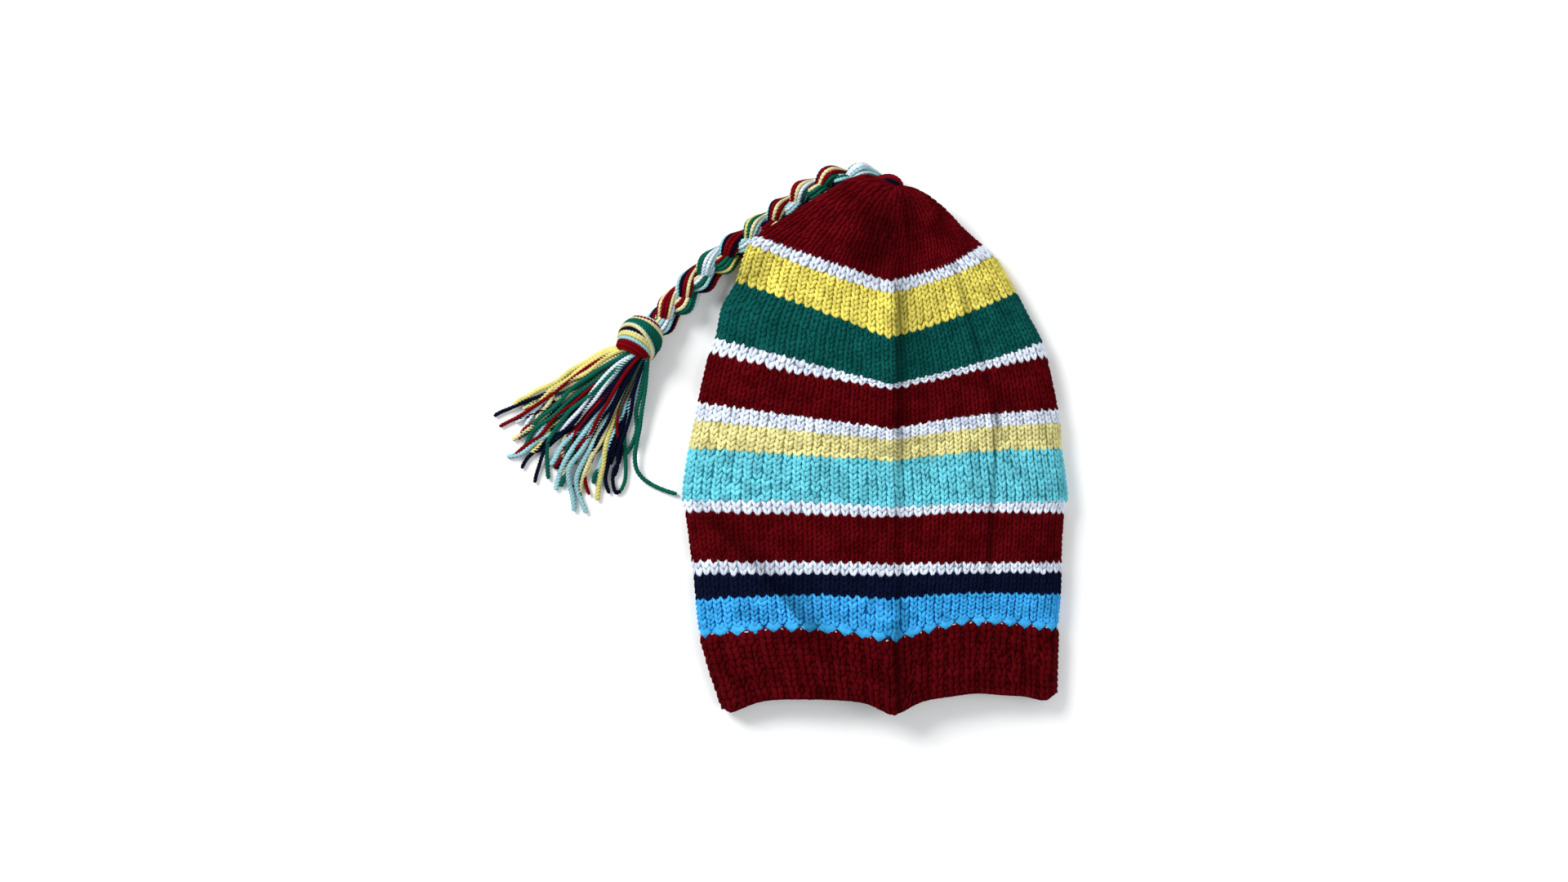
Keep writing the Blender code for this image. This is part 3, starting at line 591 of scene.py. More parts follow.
# At the right two ends make a small loop: a green yarn runs down to it and a navy one turns back up
TASSEL_LOOP = (
    PlanPoint(-0.6500, 0.545),
    PlanPoint(-0.6530, 0.504),
    PlanPoint(-0.6501, 0.465),
    PlanPoint(-0.6518, 0.434),
    PlanPoint(-0.6628, 0.414),
    PlanPoint(-0.6764, 0.411),
    PlanPoint(-0.6839, 0.432),
    PlanPoint(-0.6794, 0.454),
    PlanPoint(-0.6671, 0.469),
    PlanPoint(-0.6600, 0.500),
)
LOOP_GREEN_POINTS = 5
loop_height = yarn_radius + CLEARANCE
loop_points = [Vector((*plan_place(point.x, point.y), loop_height)) for point in TASSEL_LOOP]
green_end, _ = even_curve(loop_points[:LOOP_GREEN_POINTS], TASSEL_STEP)
navy_end, _ = even_curve(loop_points[LOOP_GREEN_POINTS - 1:], TASSEL_STEP)
lay_yarn(tassel, green_end, "green", width=YARN_WIDTHS["navy"])
lay_yarn(tassel, navy_end, "navy", width=YARN_WIDTHS["navy"])
tassel_piece = bundle_piece("tassel_yarns", tassel)
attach(tassel_piece, "root")
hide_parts("tassel")
bpy.data.objects.remove(ply_section, do_unlink=True)


# The body: a plain knitted tube in stripes, of worsted yarn at about 18 stitches and 29 rows in 10 cm. It
# lies flat on its back with a crease down the middle, and narrows towards the crown.
HAT_LOFT = 0.0265
EDGE_DEPTH = 0.0070
EDGE_CURL = 0.10
TOP_SQUARENESS = 3.0
LEAST_TOP = 0.4
LEAST_INSIDE = 0.1
FOLD_END_FADE = 0.05
KNIT_THICKNESS = 0.0030
DRAPE_MARGIN = 0.0018
DRAPE_RUN = 0.019
COVERED_POINTS = 11
SECTION_SAMPLES = 1201
WAY_STEP = 0.004

# Lines across the knitting, from the hem to the tip: left, middle and right are places across the hat as
# shares of its width, and the y columns are heights as shares of its length, at the left edge, a quarter
# of the way, the centre crease, three quarters of the way and the right edge. row counts rows of stitches.
Course = namedtuple("Course", "name row left middle right y_left y_quarter y_middle y_three y_right")
COURSES = (
    Course("hem", -12, -0.394, 0.044, 0.470, 0.026, 0.029, 0.021, 0.036, 0.033),
    Course("rib_top", 0, -0.455, 0.035, 0.475, 0.149, 0.164, 0.143, 0.175, 0.161),
    Course("navy_bottom", 7, -0.466, 0.035, 0.483, 0.215, 0.226, 0.220, 0.229, 0.225),
    Course("navy_top", 11, -0.472, 0.039, 0.485, 0.263, 0.264, 0.263, 0.266, 0.266),
    Course("lower_red_bottom", 13, -0.477, 0.041, 0.485, 0.287, 0.287, 0.284, 0.285, 0.285),
    Course("lower_red_top", 22, -0.494, 0.044, 0.492, 0.378, 0.375, 0.369, 0.378, 0.376),
    Course("aqua_bottom", 24, -0.500, 0.044, 0.500, 0.399, 0.398, 0.387, 0.395, 0.398),
    Course("aqua_top", 33, -0.483, 0.039, 0.485, 0.496, 0.484, 0.472, 0.490, 0.496),
    Course("pale_yellow_top", 38, -0.468, 0.039, 0.481, 0.548, 0.528, 0.510, 0.533, 0.543),
    Course("middle_red_bottom", 41, -0.460, 0.039, 0.475, 0.581, 0.555, 0.531, 0.557, 0.568),
    Course("middle_red_top", 49, -0.430, 0.039, 0.445, 0.674, 0.634, 0.604, 0.637, 0.669),
    Course("green_bottom", 51, -0.415, 0.039, 0.434, 0.700, 0.654, 0.612, 0.648, 0.693),
    Course("green_middle", 56, -0.400, 0.037, 0.400, 0.752, 0.703, 0.655, 0.692, 0.739),
    Course("green_top", 61, -0.360, 0.035, 0.366, 0.804, 0.750, 0.697, 0.736, 0.785),
    Course("yellow_top", 69, -0.326, 0.033, 0.307, 0.871, 0.818, 0.780, 0.810, 0.853),
    Course("crown_bottom", 71, -0.305, 0.033, 0.275, 0.886, 0.841, 0.804, 0.829, 0.874),
    Course("crown_low", 78, -0.226, 0.044, 0.230, 0.923, 0.894, 0.871, 0.886, 0.903),
    Course("crown_high", 84, -0.126, 0.052, 0.171, 0.968, 0.950, 0.929, 0.938, 0.945),
    Course("crown_end", 88, -0.024, 0.056, 0.111, 0.999, 0.979, 0.962, 0.965, 0.971),
    Course("tip", 89, 0.035, 0.050, 0.065, 0.983, 0.979, 0.976, 0.977, 0.979),
)
COURSE_PLACES = [course.y_middle for course in COURSES]
COURSE_AT = {course.name: course.y_middle for course in COURSES}
ROW_AT = {course.name: course.row for course in COURSES}
MIDDLE_PLACE = 2
ACROSS_PLACES = (-1.0, -0.5, 0.0, 0.5, 1.0)
ACROSS_COLUMNS = ("y_left", "y_quarter", "y_middle", "y_three", "y_right")

# How high the lying hat stands along its middle line, as a share of the loft
Loft = namedtuple("Loft", "along height")
LOFTS = (
    Loft(0.02, 0.74),
    Loft(0.14, 0.88),
    Loft(0.30, 0.98),
    Loft(0.50, 1.00),
    Loft(0.70, 1.00),
    Loft(0.84, 1.04),
    Loft(0.93, 1.18),
    Loft(0.98, 1.12),
)

# Where the hem hangs below its plain line: place across, half width of the dip, drop as a share of length
HemDip = namedtuple("HemDip", "place spread drop")
HEM_DIPS = (
    HemDip(-1.00, 0.16, 0.026),
    HemDip(-1.00, 0.025, -0.008),
    HemDip(1.00, 0.025, -0.008),
    HemDip(0.01, 0.12, 0.020),
    HemDip(0.52, 0.12, -0.004),
    HemDip(0.92, 0.08, 0.008),
)

# Ridges and hollows of the top face, each along a straight line: x is a share of the width and y of the
# length, left and right how far it spreads to either side, and rise is a share of the loft
Fold = namedtuple("Fold", "name x_low y_low x_high y_high left right rise")
FOLDS = (
    Fold("centre_crease", 0.045, 0.03, 0.041, 0.80, 0.055, 0.016, 0.14),
    Fold("crease_valley", 0.085, 0.46, 0.080, 0.78, 0.025, 0.060, -0.09),
    Fold("side_crease_low", 0.292, 0.26, 0.311, 0.55, 0.009, 0.009, -0.07),
    Fold("side_crease_high", 0.311, 0.55, 0.215, 0.80, 0.009, 0.009, -0.07),
    Fold("left_fold", -0.185, 0.165, -0.415, 0.365, 0.060, 0.020, 0.15),
    Fold("crown_hollow", 0.020, 0.840, 0.012, 0.900, 0.065, 0.050, -0.27),
    Fold("crown_crease", 0.075, 0.83, 0.066, 0.95, 0.030, 0.012, 0.06),
    Fold("right_lump_low", 0.215, 0.895, 0.220, 0.905, 0.022, 0.022, 0.07),
    Fold("right_lump_high", 0.150, 0.935, 0.155, 0.945, 0.022, 0.022, 0.06),
)

# Painted shade beside the folds and hollows of the top face, given in the same way, with rise its strength
# from 0 to 1
PAINTED_FOLD_SHADES = (
    Fold("left_fold_low_lee", -0.188, 0.170, -0.252, 0.226, 0.003, 0.050, 0.72),
    Fold("left_fold_high_lee", -0.330, 0.295, -0.410, 0.350, 0.014, 0.034, 0.60),
    Fold("centre_crease_low_lee", 0.050, 0.10, 0.048, 0.55, 0.004, 0.018, 0.24),
    Fold("centre_crease_high_lee", 0.052, 0.55, 0.050, 0.77, 0.006, 0.028, 0.42),
    Fold("high_crease_lee", 0.072, 0.65, 0.066, 0.77, 0.018, 0.085, 0.36),
    Fold("brim_dip_lee", 0.055, 0.03, 0.050, 0.12, 0.012, 0.030, 0.45),
    Fold("side_crease_low", 0.292, 0.26, 0.313, 0.55, 0.005, 0.006, 0.70),
    Fold("side_crease_high", 0.313, 0.55, 0.217, 0.80, 0.005, 0.006, 0.60),
    Fold("crown_hollow", 0.000, 0.855, 0.030, 0.900, 0.070, 0.060, 0.82),
    Fold("crown_crease_lee", 0.085, 0.86, 0.072, 0.94, 0.008, 0.030, 0.35),
    Fold("left_of_crease_patch", -0.030, 0.511, -0.020, 0.507, 0.014, 0.014, 0.26),
    Fold("right_of_crease_patch", 0.068, 0.501, 0.110, 0.508, 0.014, 0.014, 0.30),
)


def smooth_values(knots, values, at):
    """Values at many places, from a smooth curve through the given ones that never overshoots them. The
    values are one number for each knot, or one row of numbers for each knot, with one for each place."""
    knots = np.asarray(knots, dtype=float)
    values = np.asarray(values, dtype=float).reshape(len(knots), -1)
    at = np.clip(at, knots[0], knots[-1])
    slopes = np.diff(values, axis=0) / np.diff(knots)[:, None]
    product = slopes[:-1] * slopes[1:]
    total = np.where(product > 0.0, slopes[:-1] + slopes[1:], 1.0)
    inner = np.where(product > 0.0, 2.0 * product / total, 0.0)
    tangents = np.concatenate([slopes[:1], inner, slopes[-1:]])
    k = np.clip(np.searchsorted(knots, at, side="right") - 1, 0, len(knots) - 2)
    column = np.arange(len(at)) if values.shape[1] > 1 else np.zeros(len(at), dtype=int)
    run = np.diff(knots)[k]
    t = (at - knots[k]) / run
    rest = 1.0 - t
    start = (1.0 + 2.0 * t) * rest * rest * values[k, column] + t * rest * rest * run * tangents[k, column]
    k = k + 1
    return start + t * t * (3.0 - 2.0 * t) * values[k, column] - t * t * rest * run * tangents[k, column]


def smooth_step(share):
    """0 below 0, 1 above 1 and an even slope between."""
    share = np.clip(share, 0.0, 1.0)
    return share * share * (3.0 - 2.0 * share)


def course_values(column, along):
    """One column of the table of courses, read at many shares of the hat's length."""
    return smooth_values(COURSE_PLACES, [getattr(course, column) for course in COURSES], along)


def row_places(along, across):
    """Plan positions of places across the rows that cross the centre crease at the given shares."""
    left, middle, right = [course_values(name, along) for name in ("left", "middle", "right")]
    x_share = middle + across * (right - left) / 2.0 + across * across * ((left + right) / 2.0 - middle)
    heights = [course_values(name, along) for name in ACROSS_COLUMNS]
    left_half = smooth_values(ACROSS_PLACES[:MIDDLE_PLACE + 1], heights[:MIDDLE_PLACE + 1], across)
    right_half = smooth_values(ACROSS_PLACES[MIDDLE_PLACE:], heights[MIDDLE_PLACE:], across)
    y_share = np.where(across < 0.0, left_half, right_half)
    fade = 1.0 - smooth_step((along - COURSE_AT["hem"]) / (COURSE_AT["rib_top"] - COURSE_AT["hem"]))
    for dip in HEM_DIPS:
        y_share = y_share - fade * dip.drop * np.exp(-(((across - dip.place) / dip.spread) ** 2))
    return plan_place(x_share, y_share)


def fold_sum(folds, x, y):
    """What a table of folds adds up to at many plan positions, each fading out from its line."""
    total = np.zeros(len(x))
    for fold in folds:
        start = Vector(plan_place(fold.x_low, fold.y_low))
        end = Vector(plan_place(fold.x_high, fold.y_high))
        way = (end - start).normalized()
        along = (x - start.x) * way.x + (y - start.y) * way.y
        beyond = np.maximum(np.maximum(-along, along - (end - start).length), 0.0)
        to_right = (x - start.x) * way.y - (y - start.y) * way.x
        spread = np.where(to_right > 0.0, fold.right, fold.left) * HAT_WIDTH
        distance = np.hypot(to_right / spread, beyond / (FOLD_END_FADE * HAT_LENGTH))
        total += fold.rise * np.exp(-distance * distance)
    return total


def drape_heights(x, y):
    """How far the hat's underside is lifted where the crown lies over the braid."""
    covered = [Vector(plan_place(point.x, point.y)) for point in BRAID_ROUTE[:COVERED_POINTS]]
    distance = np.full(len(x), math.inf)
    for start, end in zip(covered, covered[1:]):
        way = end - start
        share = ((x - start.x) * way.x + (y - start.y) * way.y) / way.length_squared
        share = np.clip(share, 0.0, 1.0)
        distance = np.minimum(distance, np.hypot(x - start.x - way.x * share, y - start.y - way.y * share))
    near = BRAID_DIAMETER / 2.0 + DRAPE_MARGIN
    return (BRAID_DIAMETER + 2.0 * CLEARANCE) * smooth_step(1.0 - (distance - near) / DRAPE_RUN)


# The flattened tube's section, from the left edge over the top to the right edge and back underneath
turn = np.linspace(0.0, TAU, SECTION_SAMPLES)
LOOP_ACROSS = -np.cos(turn)
curl = np.maximum((np.abs(LOOP_ACROSS) - 1.0 + EDGE_CURL) / EDGE_CURL, 0.0)
LOOP_RISE = np.where(
    turn <= math.pi,
    np.sqrt(np.maximum(1.0 - np.abs(LOOP_ACROSS) ** TOP_SQUARENESS, 0.0)),
    -np.sqrt(np.maximum(1.0 - curl * curl, 0.0)),
)
tall = np.where(LOOP_RISE[1:] + LOOP_RISE[:-1] > 0.0, HAT_LOFT - EDGE_DEPTH, EDGE_DEPTH)
steps = np.hypot(np.diff(LOOP_ACROSS) * HAT_WIDTH / 2.0, np.diff(LOOP_RISE) * tall)
LOOP_SHARE = np.concatenate([[0.0], np.cumsum(steps)]) / steps.sum()


def hat_face(along, around, inset=0.0):
    """Points of the lying hat's outer face, or of a face inset from it: along is a share of the length
    and around a share of the way round the tube."""
    across = np.interp(around % 1.0, LOOP_SHARE, LOOP_ACROSS)
    rise = np.interp(around % 1.0, LOOP_SHARE, LOOP_RISE)
    half = (course_values("right", along) - course_values("left", along)) * HAT_WIDTH / 2.0
    across = across * (1.0 - inset / half)
    x, y = row_places(along, across)
    lift = drape_heights(x, y)
    loft = smooth_values([row.along for row in LOFTS], [row.height for row in LOFTS], along) * HAT_LOFT
    rises = fold_sum(FOLDS, x, y) * HAT_LOFT
    top = np.maximum(loft + rises - EDGE_DEPTH - lift, LEAST_TOP * EDGE_DEPTH) - inset
    over = EDGE_DEPTH + rise * np.maximum(top, LEAST_INSIDE * EDGE_DEPTH)
    under = inset + (EDGE_DEPTH - inset) * (1.0 + rise)
    return np.stack([x, y, lift + np.where(rise < 0.0, under, over)], axis=1)


def along_at(row):
    """Share of the length at a row of stitches, whole or not."""
    return np.interp(row, [course.row for course in COURSES], COURSE_PLACES)


def on_fabric(row, around, out, inset=0.0):
    """Points that stand out from the hat's face by a height, at places given in rows and way round."""
    along = along_at(row)
    base = hat_face(along, around, inset)
    round_way = hat_face(along, around + WAY_STEP) - hat_face(along, around - WAY_STEP)
    up_way = hat_face(along_at(row + 0.5), around) - hat_face(along_at(row - 0.5), around)
    normal = np.cross(round_way, up_way)
    normal /= np.maximum(np.linalg.norm(normal, axis=1), 1e-12)[:, None]
    return base + normal * np.asarray(out)[:, None]


# A leg of a stitch is a ball drawn long, whose rings between the waist and the ends are made fuller
STITCH_SIDES = 6
BALL_RINGS = 4
RING_BAND = (0.2, 0.45)
RING_PLACE = 0.30
RING_PLUMP = 1.22
FOOT_THIN = 0.18
LEG_LENGTH = 1.85
LEG_DEPTH = 0.0026
LEG_FOOT = -0.52
LEG_SINK = 0.0010
LEG_TILT = 0.0007
STITCH_JITTER = 0.05
ROW_JITTER = 2.0
TINT_SPREAD = 0.12
LEAST_HEIGHT = 0.0002


def new_ball(sides):
    """A ball of few faces, one unit across, from which a loop of yarn is shaped."""
    ball = bmesh.new()
    bmesh.ops.create_uvsphere(ball, u_segments=sides, v_segments=BALL_RINGS, radius=0.5, calc_uvs=True)
    return ball


def stitch_leg(width, foot_lean, top_lean):
    """One leg of a stitch, plump and closed: x in columns, y in rows and z in metres above the face. Its
    foot is near the stitch's middle line and its top leans out."""
    leg = new_ball(STITCH_SIDES)
    for vert in leg.verts:
        x, y, z = vert.co
        share = z + 0.5
        ring, plump = z, 1.0
        if RING_BAND[0] < abs(z) < RING_BAND[1]:
            ring, plump = math.copysign(RING_PLACE, z), RING_PLUMP
        foot = 1.0 - FOOT_THIN * (1.0 - share)
        reach = LEG_FOOT + LEG_LENGTH * (ring + 0.5)
        lean = foot_lean + (top_lean - foot_lean) * math.sin(share * math.pi / 2.0)
        height = LEG_DEPTH * y * plump + LEG_TILT * (0.5 - share) * 2.0 - LEG_SINK
        vert.co = (lean + width * x * plump * foot, reach, height)
    bmesh.ops.reverse_faces(leg, faces=leg.faces)
    return leg


def stitch_mesh(width=0.53, foot_lean=0.07, top_lean=0.32):
    """A stitch as it shows on the right side: two legs in a V."""
    stitch = stitch_leg(width, foot_lean, top_lean)
    copied = bmesh.ops.duplicate(stitch, geom=stitch.verts[:] + stitch.edges[:] + stitch.faces[:])["geom"]
    mirrored = [item for item in copied if isinstance(item, bmesh.types.BMVert)]
    bmesh.ops.scale(stitch, vec=(-1.0, 1.0, 1.0), verts=mirrored)
    bmesh.ops.recalc_face_normals(stitch, faces=stitch.faces)
    return mesh_of("stitch", stitch)


def painted_fold_shade(placed, around):
    """How much painted shade the folds of the top face put on each point, from 0 to 1."""
    facing_up = np.interp(around % 1.0, LOOP_SHARE, LOOP_RISE) > 0.0
    return np.clip(np.where(facing_up, fold_sum(PAINTED_FOLD_SHADES, placed[:, 0], placed[:, 1]), 0.0), 0.0, 1.0)


def knit_rows(name, shape, columns, rows, first_row, material_list, shift=0.0, seed=1, depth=1.0, out=0.0):
    """Rows of one shape of stitch, worked flat with two arrays and then laid on the hat's face."""
    holder = bpy.data.objects.new(name, shape)
    bpy.context.scene.collection.objects.link(holder)
    for count, way in ((columns, (1.0, 0.0, 0.0)), (rows, (0.0, 1.0, 0.0))):
        array = holder.modifiers.new("array", "ARRAY")
        array.use_relative_offset = False
        array.use_constant_offset = True
        array.constant_offset_displace = way
        array.count = count
    mesh = finished_mesh(holder)
    mesh.name = name
    total = len(mesh.vertices)
    flat = np.zeros(total * 3)
    mesh.vertices.foreach_get("co", flat)
    flat = flat.reshape(-1, 3)
    each = len(shape.vertices)
    stitch = np.arange(total) // each
    leg = np.arange(total) // (each // 2)
    chance = np.random.default_rng(seed)
    stray = chance.normal(0.0, STITCH_JITTER, (leg[-1] + 1, 2))
    tone = chance.normal(0.0, TINT_SPREAD, stitch[-1] + 1)
    around = (flat[:, 0] + 0.5 + shift + stray[leg, 0]) / columns
    row = first_row + flat[:, 1] + stray[leg, 1] * ROW_JITTER
    placed = on_fabric(row, around, flat[:, 2] * depth + out)
    placed[:, 2] = np.maximum(placed[:, 2], LEAST_HEIGHT)
    mesh.vertices.foreach_set("co", placed.ravel())
    mesh.shade_smooth()
    store_values(mesh, "tint", tone[stitch])
    # painted shade beside the folds, which the wool reads to darken the stitches
    store_values(mesh, "shade", painted_fold_shade(placed, around))
    mesh.materials.clear()
    return add_piece(name, mesh, material_list)


# Worsted wool of one colour for each stripe, matt and a little different in tone from stitch to stitch,
# so that a stripe looks knitted and not printed. The dark ones are felted: flatter and with cloudy dye
Stripe = namedtuple("Stripe", "name start end columns colour shadow depth uneven")
STRIPES = (
    Stripe("sky_blue", "rib_top", "navy_bottom", 88, "339CD6", "084480", 1.25, 1.6),
    Stripe("navy", "navy_bottom", "navy_top", 88, "0A0F27", "06091A", 0.85, 1.0),
    Stripe("white_1", "navy_top", "lower_red_bottom", 88, "CBD2E2", "6F7889", 1.0, 1.0),
    Stripe("lower_red", "lower_red_bottom", "lower_red_top", 88, "4C0207", "400105", 0.8, 2.4),
    Stripe("white_2", "lower_red_top", "aqua_bottom", 88, "CBD2E2", "6F7889", 1.0, 1.0),
    Stripe("aqua", "aqua_bottom", "aqua_top", 88, "60BBC9", "1C6877", 1.3, 1.6),
    Stripe("pale_yellow", "aqua_top", "pale_yellow_top", 88, "CDC688", "8A7E40", 1.15, 1.6),
    Stripe("white_3", "pale_yellow_top", "middle_red_bottom", 88, "CBD2E2", "6F7889", 1.0, 1.0),
    Stripe("middle_red", "middle_red_bottom", "middle_red_top", 84, "4C0207", "400105", 0.8, 2.4),
    Stripe("white_4", "middle_red_top", "green_bottom", 80, "CBD2E2", "6F7889", 1.0, 1.0),
    Stripe("green", "green_bottom", "green_top", 74, "074844", "053B36", 0.8, 1.6),
    Stripe("yellow", "green_top", "yellow_top", 68, "D1C55A", "857424", 1.2, 1.6),
    Stripe("white_5", "yellow_top", "crown_bottom", 62, "CBD2E2", "6F7889", 1.0, 1.0),
)
TOOTH_ROWS = 1
FELTED_DEPTH = 0.9
stitch = stitch_mesh()
felted_stitch = stitch_mesh(foot_lean=0.12, top_lean=0.29)
body_wools = {}
for number, stripe in enumerate(STRIPES):
    if stripe.colour not in body_wools:
        body_wools[stripe.colour] = wool("worsted_" + stripe.name, stripe.colour, uneven=stripe.uneven)
    first_row = ROW_AT[stripe.start] + (TOOTH_ROWS if number == 0 else 0)
    piece = knit_rows(
        "stripe_" + stripe.name, felted_stitch if stripe.depth < FELTED_DEPTH else stitch,
        stripe.columns, ROW_AT[stripe.end] - first_row, first_row, [body_wools[stripe.colour]],
        shift=0.5, seed=number + 11, depth=stripe.depth,
    )
    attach(piece, "root")


MERGE_DISTANCE = 0.000001


def ring_wall(name, columns, rings, material_list, ring_material=None):
    """A closed wall rolled up both ways from a flat grid. A ring is a row, an inset and a height out."""
    grid = bmesh.new()
    bmesh.ops.create_grid(grid, x_segments=columns, y_segments=len(rings), size=0.5, calc_uvs=True)
    grid.verts.ensure_lookup_table()
    column = [round((vert.co.x + 0.5) * columns) % columns for vert in grid.verts]
    ring = [round((vert.co.y + 0.5) * len(rings)) % len(rings) for vert in grid.verts]
    table = np.array(rings)[ring]
    placed = on_fabric(table[:, 0], np.array(column) / columns, table[:, 2], table[:, 1])
    if ring_material:
        for face in grid.faces:
            low = min(ring[vert.index] for vert in face.verts)
            face.material_index = ring_material(low)
    for vert, place in zip(grid.verts, placed):
        vert.co = place
    bmesh.ops.remove_doubles(grid, verts=grid.verts, dist=MERGE_DISTANCE)
    bmesh.ops.recalc_face_normals(grid, faces=grid.faces)
    mesh = mesh_of(name, grid)
    mesh.shade_smooth()
    store_values(mesh, "tint", np.zeros(len(mesh.vertices)))
    return add_piece(name, mesh, material_list)


# The wall behind the stitches is of the same wools in shade: it gives the dark gaps between the columns,
# and the wrong side of the knitting inside the opening
WALL_SINK = 0.0008
BODY_WALL_COLUMNS = 128
shadow_wools = []
stripe_rows = []
for stripe in STRIPES:
    shadow_wools.append(wool("inner_" + stripe.name, stripe.shadow))
    stripe_rows.append(ROW_AT[stripe.end])
outer = [(row, 0.0, -WALL_SINK) for row in range(ROW_AT["rib_top"], ROW_AT["crown_bottom"] + 1)]
inner = [(row, KNIT_THICKNESS, 0.0) for row in range(ROW_AT["crown_bottom"], ROW_AT["rib_top"] - 1, -1)]
body_rings = outer + inner


def stripe_at(ring):
    """Number of the stripe that a ring of the wall belongs to."""
    row = min(body_rings[ring][0], body_rings[(ring + 1) % len(body_rings)][0])
    return next((k for k, end in enumerate(stripe_rows) if row < end), len(stripe_rows) - 1)


body_wall = ring_wall("body_wall", BODY_WALL_COLUMNS, body_rings, shadow_wools, stripe_at)
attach(body_wall, "root")
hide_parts("striped_body")


# The crown: the maroon top of the same worsted wool, knitted on from the body in rounds of fewer and
# fewer stitches until the last few are drawn together at the tip, where the cloth sinks into a hollow.
CROWN_WALL_COLUMNS = 96
Round = namedtuple("Round", "rows columns")
ROUNDS = (
    Round(4, 60),
    Round(4, 50),
    Round(3, 40),
    Round(3, 30),
    Round(2, 20),
    Round(2, 10),
)
# A deep maroon with cloudy dye, whose matt stitches almost close up, and the same in shade behind them
crown_wool = wool("worsted_crown_maroon", "520209", uneven=2.4)
crown_shadow = wool("inner_crown_maroon", "480308")
crown_stitch = stitch_mesh(width=0.52, foot_lean=0.15, top_lean=0.27)
row = ROW_AT["crown_bottom"]
for number, worked in enumerate(ROUNDS):
    piece = knit_rows(
        f"crown_round_{number + 1}", crown_stitch, worked.columns, worked.rows, row, [crown_wool],
        seed=number + 41, depth=0.75,
    )
    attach(piece, "root")
    row += worked.rows
outer = [(row, 0.0, -WALL_SINK) for row in range(ROW_AT["crown_bottom"], ROW_AT["tip"])]
outer.append((ROW_AT["tip"], 0.0, -WALL_SINK))
inner = [(row, KNIT_THICKNESS, 0.0) for row in range(ROW_AT["crown_end"], ROW_AT["crown_bottom"] - 1, -1)]
crown_wall = ring_wall("crown_wall", CROWN_WALL_COLUMNS, outer + inner, [crown_shadow])
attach(crown_wall, "root")
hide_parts("crown")


# The brim: a band of one-by-one rib in maroon worsted wool, knitted in one with the body. Its knit
# columns stand up as ridges with the purl columns sunk between them, and the first blue row above it
# hangs down in teeth over the purl columns. The start and rise values say where each kind of loop lies.
RIB_COUNT = 44
RIB_THICKNESS = 0.0040
RIB_START = 0.45
RIB_RISE = 0.0009
PURL_START = 0.5
PURL_RISE = -0.0011
EDGE_START = 0.05
EDGE_RISE = -0.0020
TOOTH_SIDES = 8
TOOTH_TAPER = 1.3
TOOTH_START = 0.15
TOOTH_RISE = -0.0010
LOOP_START = -0.1
POINT_START = -0.75
POINT_RISE = -0.0014
DOT_START = -0.25
DOT_RISE = 0.0002


def yarn_bump(spread, tall, depth):
    """A plump bump of yarn, as a loop shows from behind: sides in columns, rows and metres."""
    shape = new_ball(STITCH_SIDES)
    bmesh.ops.scale(shape, vec=(spread, tall, depth), verts=shape.verts)
    return mesh_of("yarn_bump", shape)


def yarn_tooth(spread, tall, depth):
    """A loop pulled down to a point, or up to one where tall is negative."""
    shape = new_ball(TOOTH_SIDES)
    for vert in shape.verts:
        vert.co.x *= 1.0 - TOOTH_TAPER * max(-vert.co.y, 0.0)
    bmesh.ops.scale(shape, vec=(spread, tall, depth), verts=shape.verts)
    bmesh.ops.recalc_face_normals(shape, faces=shape.faces)
    return mesh_of("yarn_tooth", shape)
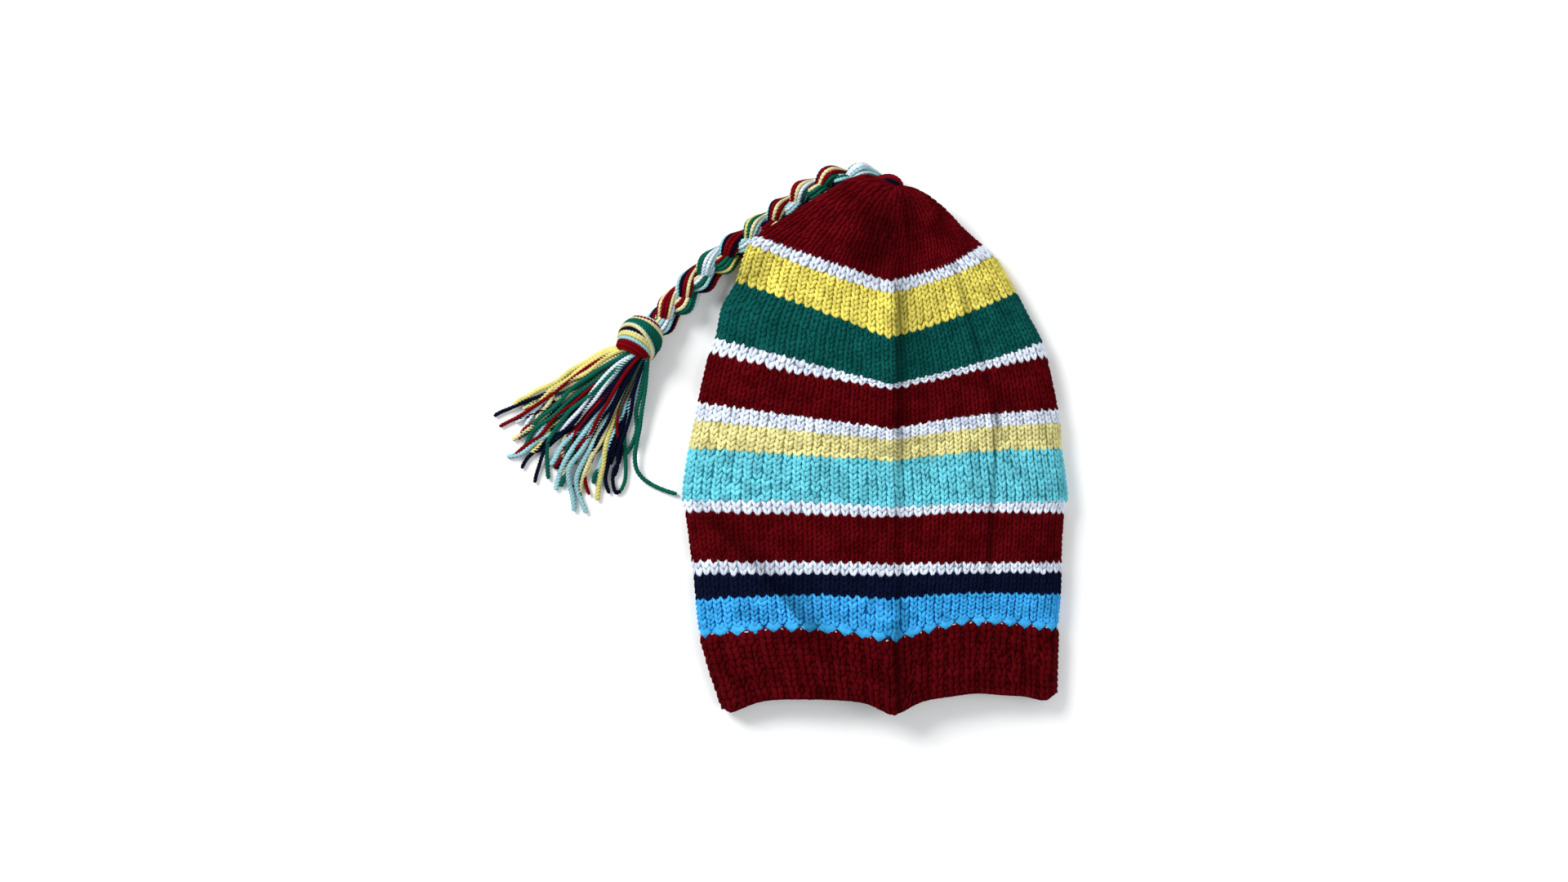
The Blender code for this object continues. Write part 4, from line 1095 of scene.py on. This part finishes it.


# Maroon wool with cloudy dye on the ridges, a darker one where the purl columns lie in their shade, and
# a pinkish white for small dots that are painted highlights, glints of light where the loops meet
rib_wool = wool("worsted_rib_maroon", "4A0207", uneven=2.4)
purl_wool = wool("worsted_purl_maroon", "400206", uneven=2.4)
rib_shadow = wool("inner_rib_maroon", "3C0105")
glint_dot_wool = wool("painted_glint_pink", "C9A9AC")
sky_wool = body_wools[STRIPES[0].colour]
rib_rows = ROW_AT["rib_top"] - ROW_AT["hem"]
ribs = knit_rows(
    "brim_knit_columns", stitch_mesh(width=0.42, foot_lean=0.12, top_lean=0.22), RIB_COUNT, rib_rows - 1,
    ROW_AT["hem"] + RIB_START, [rib_wool], shift=-0.5, seed=61, depth=0.9, out=RIB_RISE,
)
purls = knit_rows(
    "brim_purl_bumps", yarn_bump(spread=0.52, tall=1.25, depth=0.0030), RIB_COUNT, rib_rows - 1,
    ROW_AT["hem"] + PURL_START, [purl_wool], seed=62, out=PURL_RISE,
)
cast_on = knit_rows(
    "brim_cast_on_edge", yarn_bump(spread=1.15, tall=1.1, depth=0.0040), 2 * RIB_COUNT, 1,
    ROW_AT["hem"] + EDGE_START, [rib_wool], seed=63, out=EDGE_RISE,
)
# Where the blue starts, its wide loops hang in teeth over the purl columns, maroon points stand between
# them, and where they meet pale dots are painted highlights, small glints of light made as bumps of pale
# wool
teeth = knit_rows(
    "brim_blue_teeth", yarn_tooth(spread=1.06, tall=2.5, depth=0.0026), RIB_COUNT, 1,
    ROW_AT["rib_top"] + TOOTH_START, [sky_wool], seed=64, out=TOOTH_RISE,
)
tooth_loops = knit_rows(
    "brim_blue_loops", stitch_mesh(width=0.34, foot_lean=0.05, top_lean=0.22), RIB_COUNT, TOOTH_ROWS,
    ROW_AT["rib_top"] + LOOP_START, [sky_wool], seed=65,
)
maroon_points = knit_rows(
    "brim_maroon_points", yarn_tooth(spread=1.0, tall=-2.2, depth=0.0026), RIB_COUNT, 1,
    ROW_AT["rib_top"] + POINT_START, [rib_wool], shift=-0.5, seed=66, out=POINT_RISE,
)
# painted highlights: pale glint dots where the blue teeth and the maroon points meet
glint_dots = knit_rows(
    "brim_painted_glint_dots", yarn_bump(spread=0.10, tall=0.34, depth=0.0020), RIB_COUNT, 1,
    ROW_AT["rib_top"] + DOT_START, [glint_dot_wool], shift=-0.5, seed=67, out=DOT_RISE,
)
outer = [(row, 0.0, -WALL_SINK) for row in range(ROW_AT["hem"], ROW_AT["rib_top"] + 1)]
inner = [(row, RIB_THICKNESS, 0.0) for row in range(ROW_AT["rib_top"], ROW_AT["hem"] - 1, -1)]
brim_wall = ring_wall("brim_wall", 2 * RIB_COUNT, outer + inner, [rib_shadow])
for piece in (ribs, purls, cast_on, maroon_points, brim_wall):
    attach(piece, "root")
for piece in (teeth, tooth_loops, glint_dots):
    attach(piece, "root")
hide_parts("ribbed_brim")
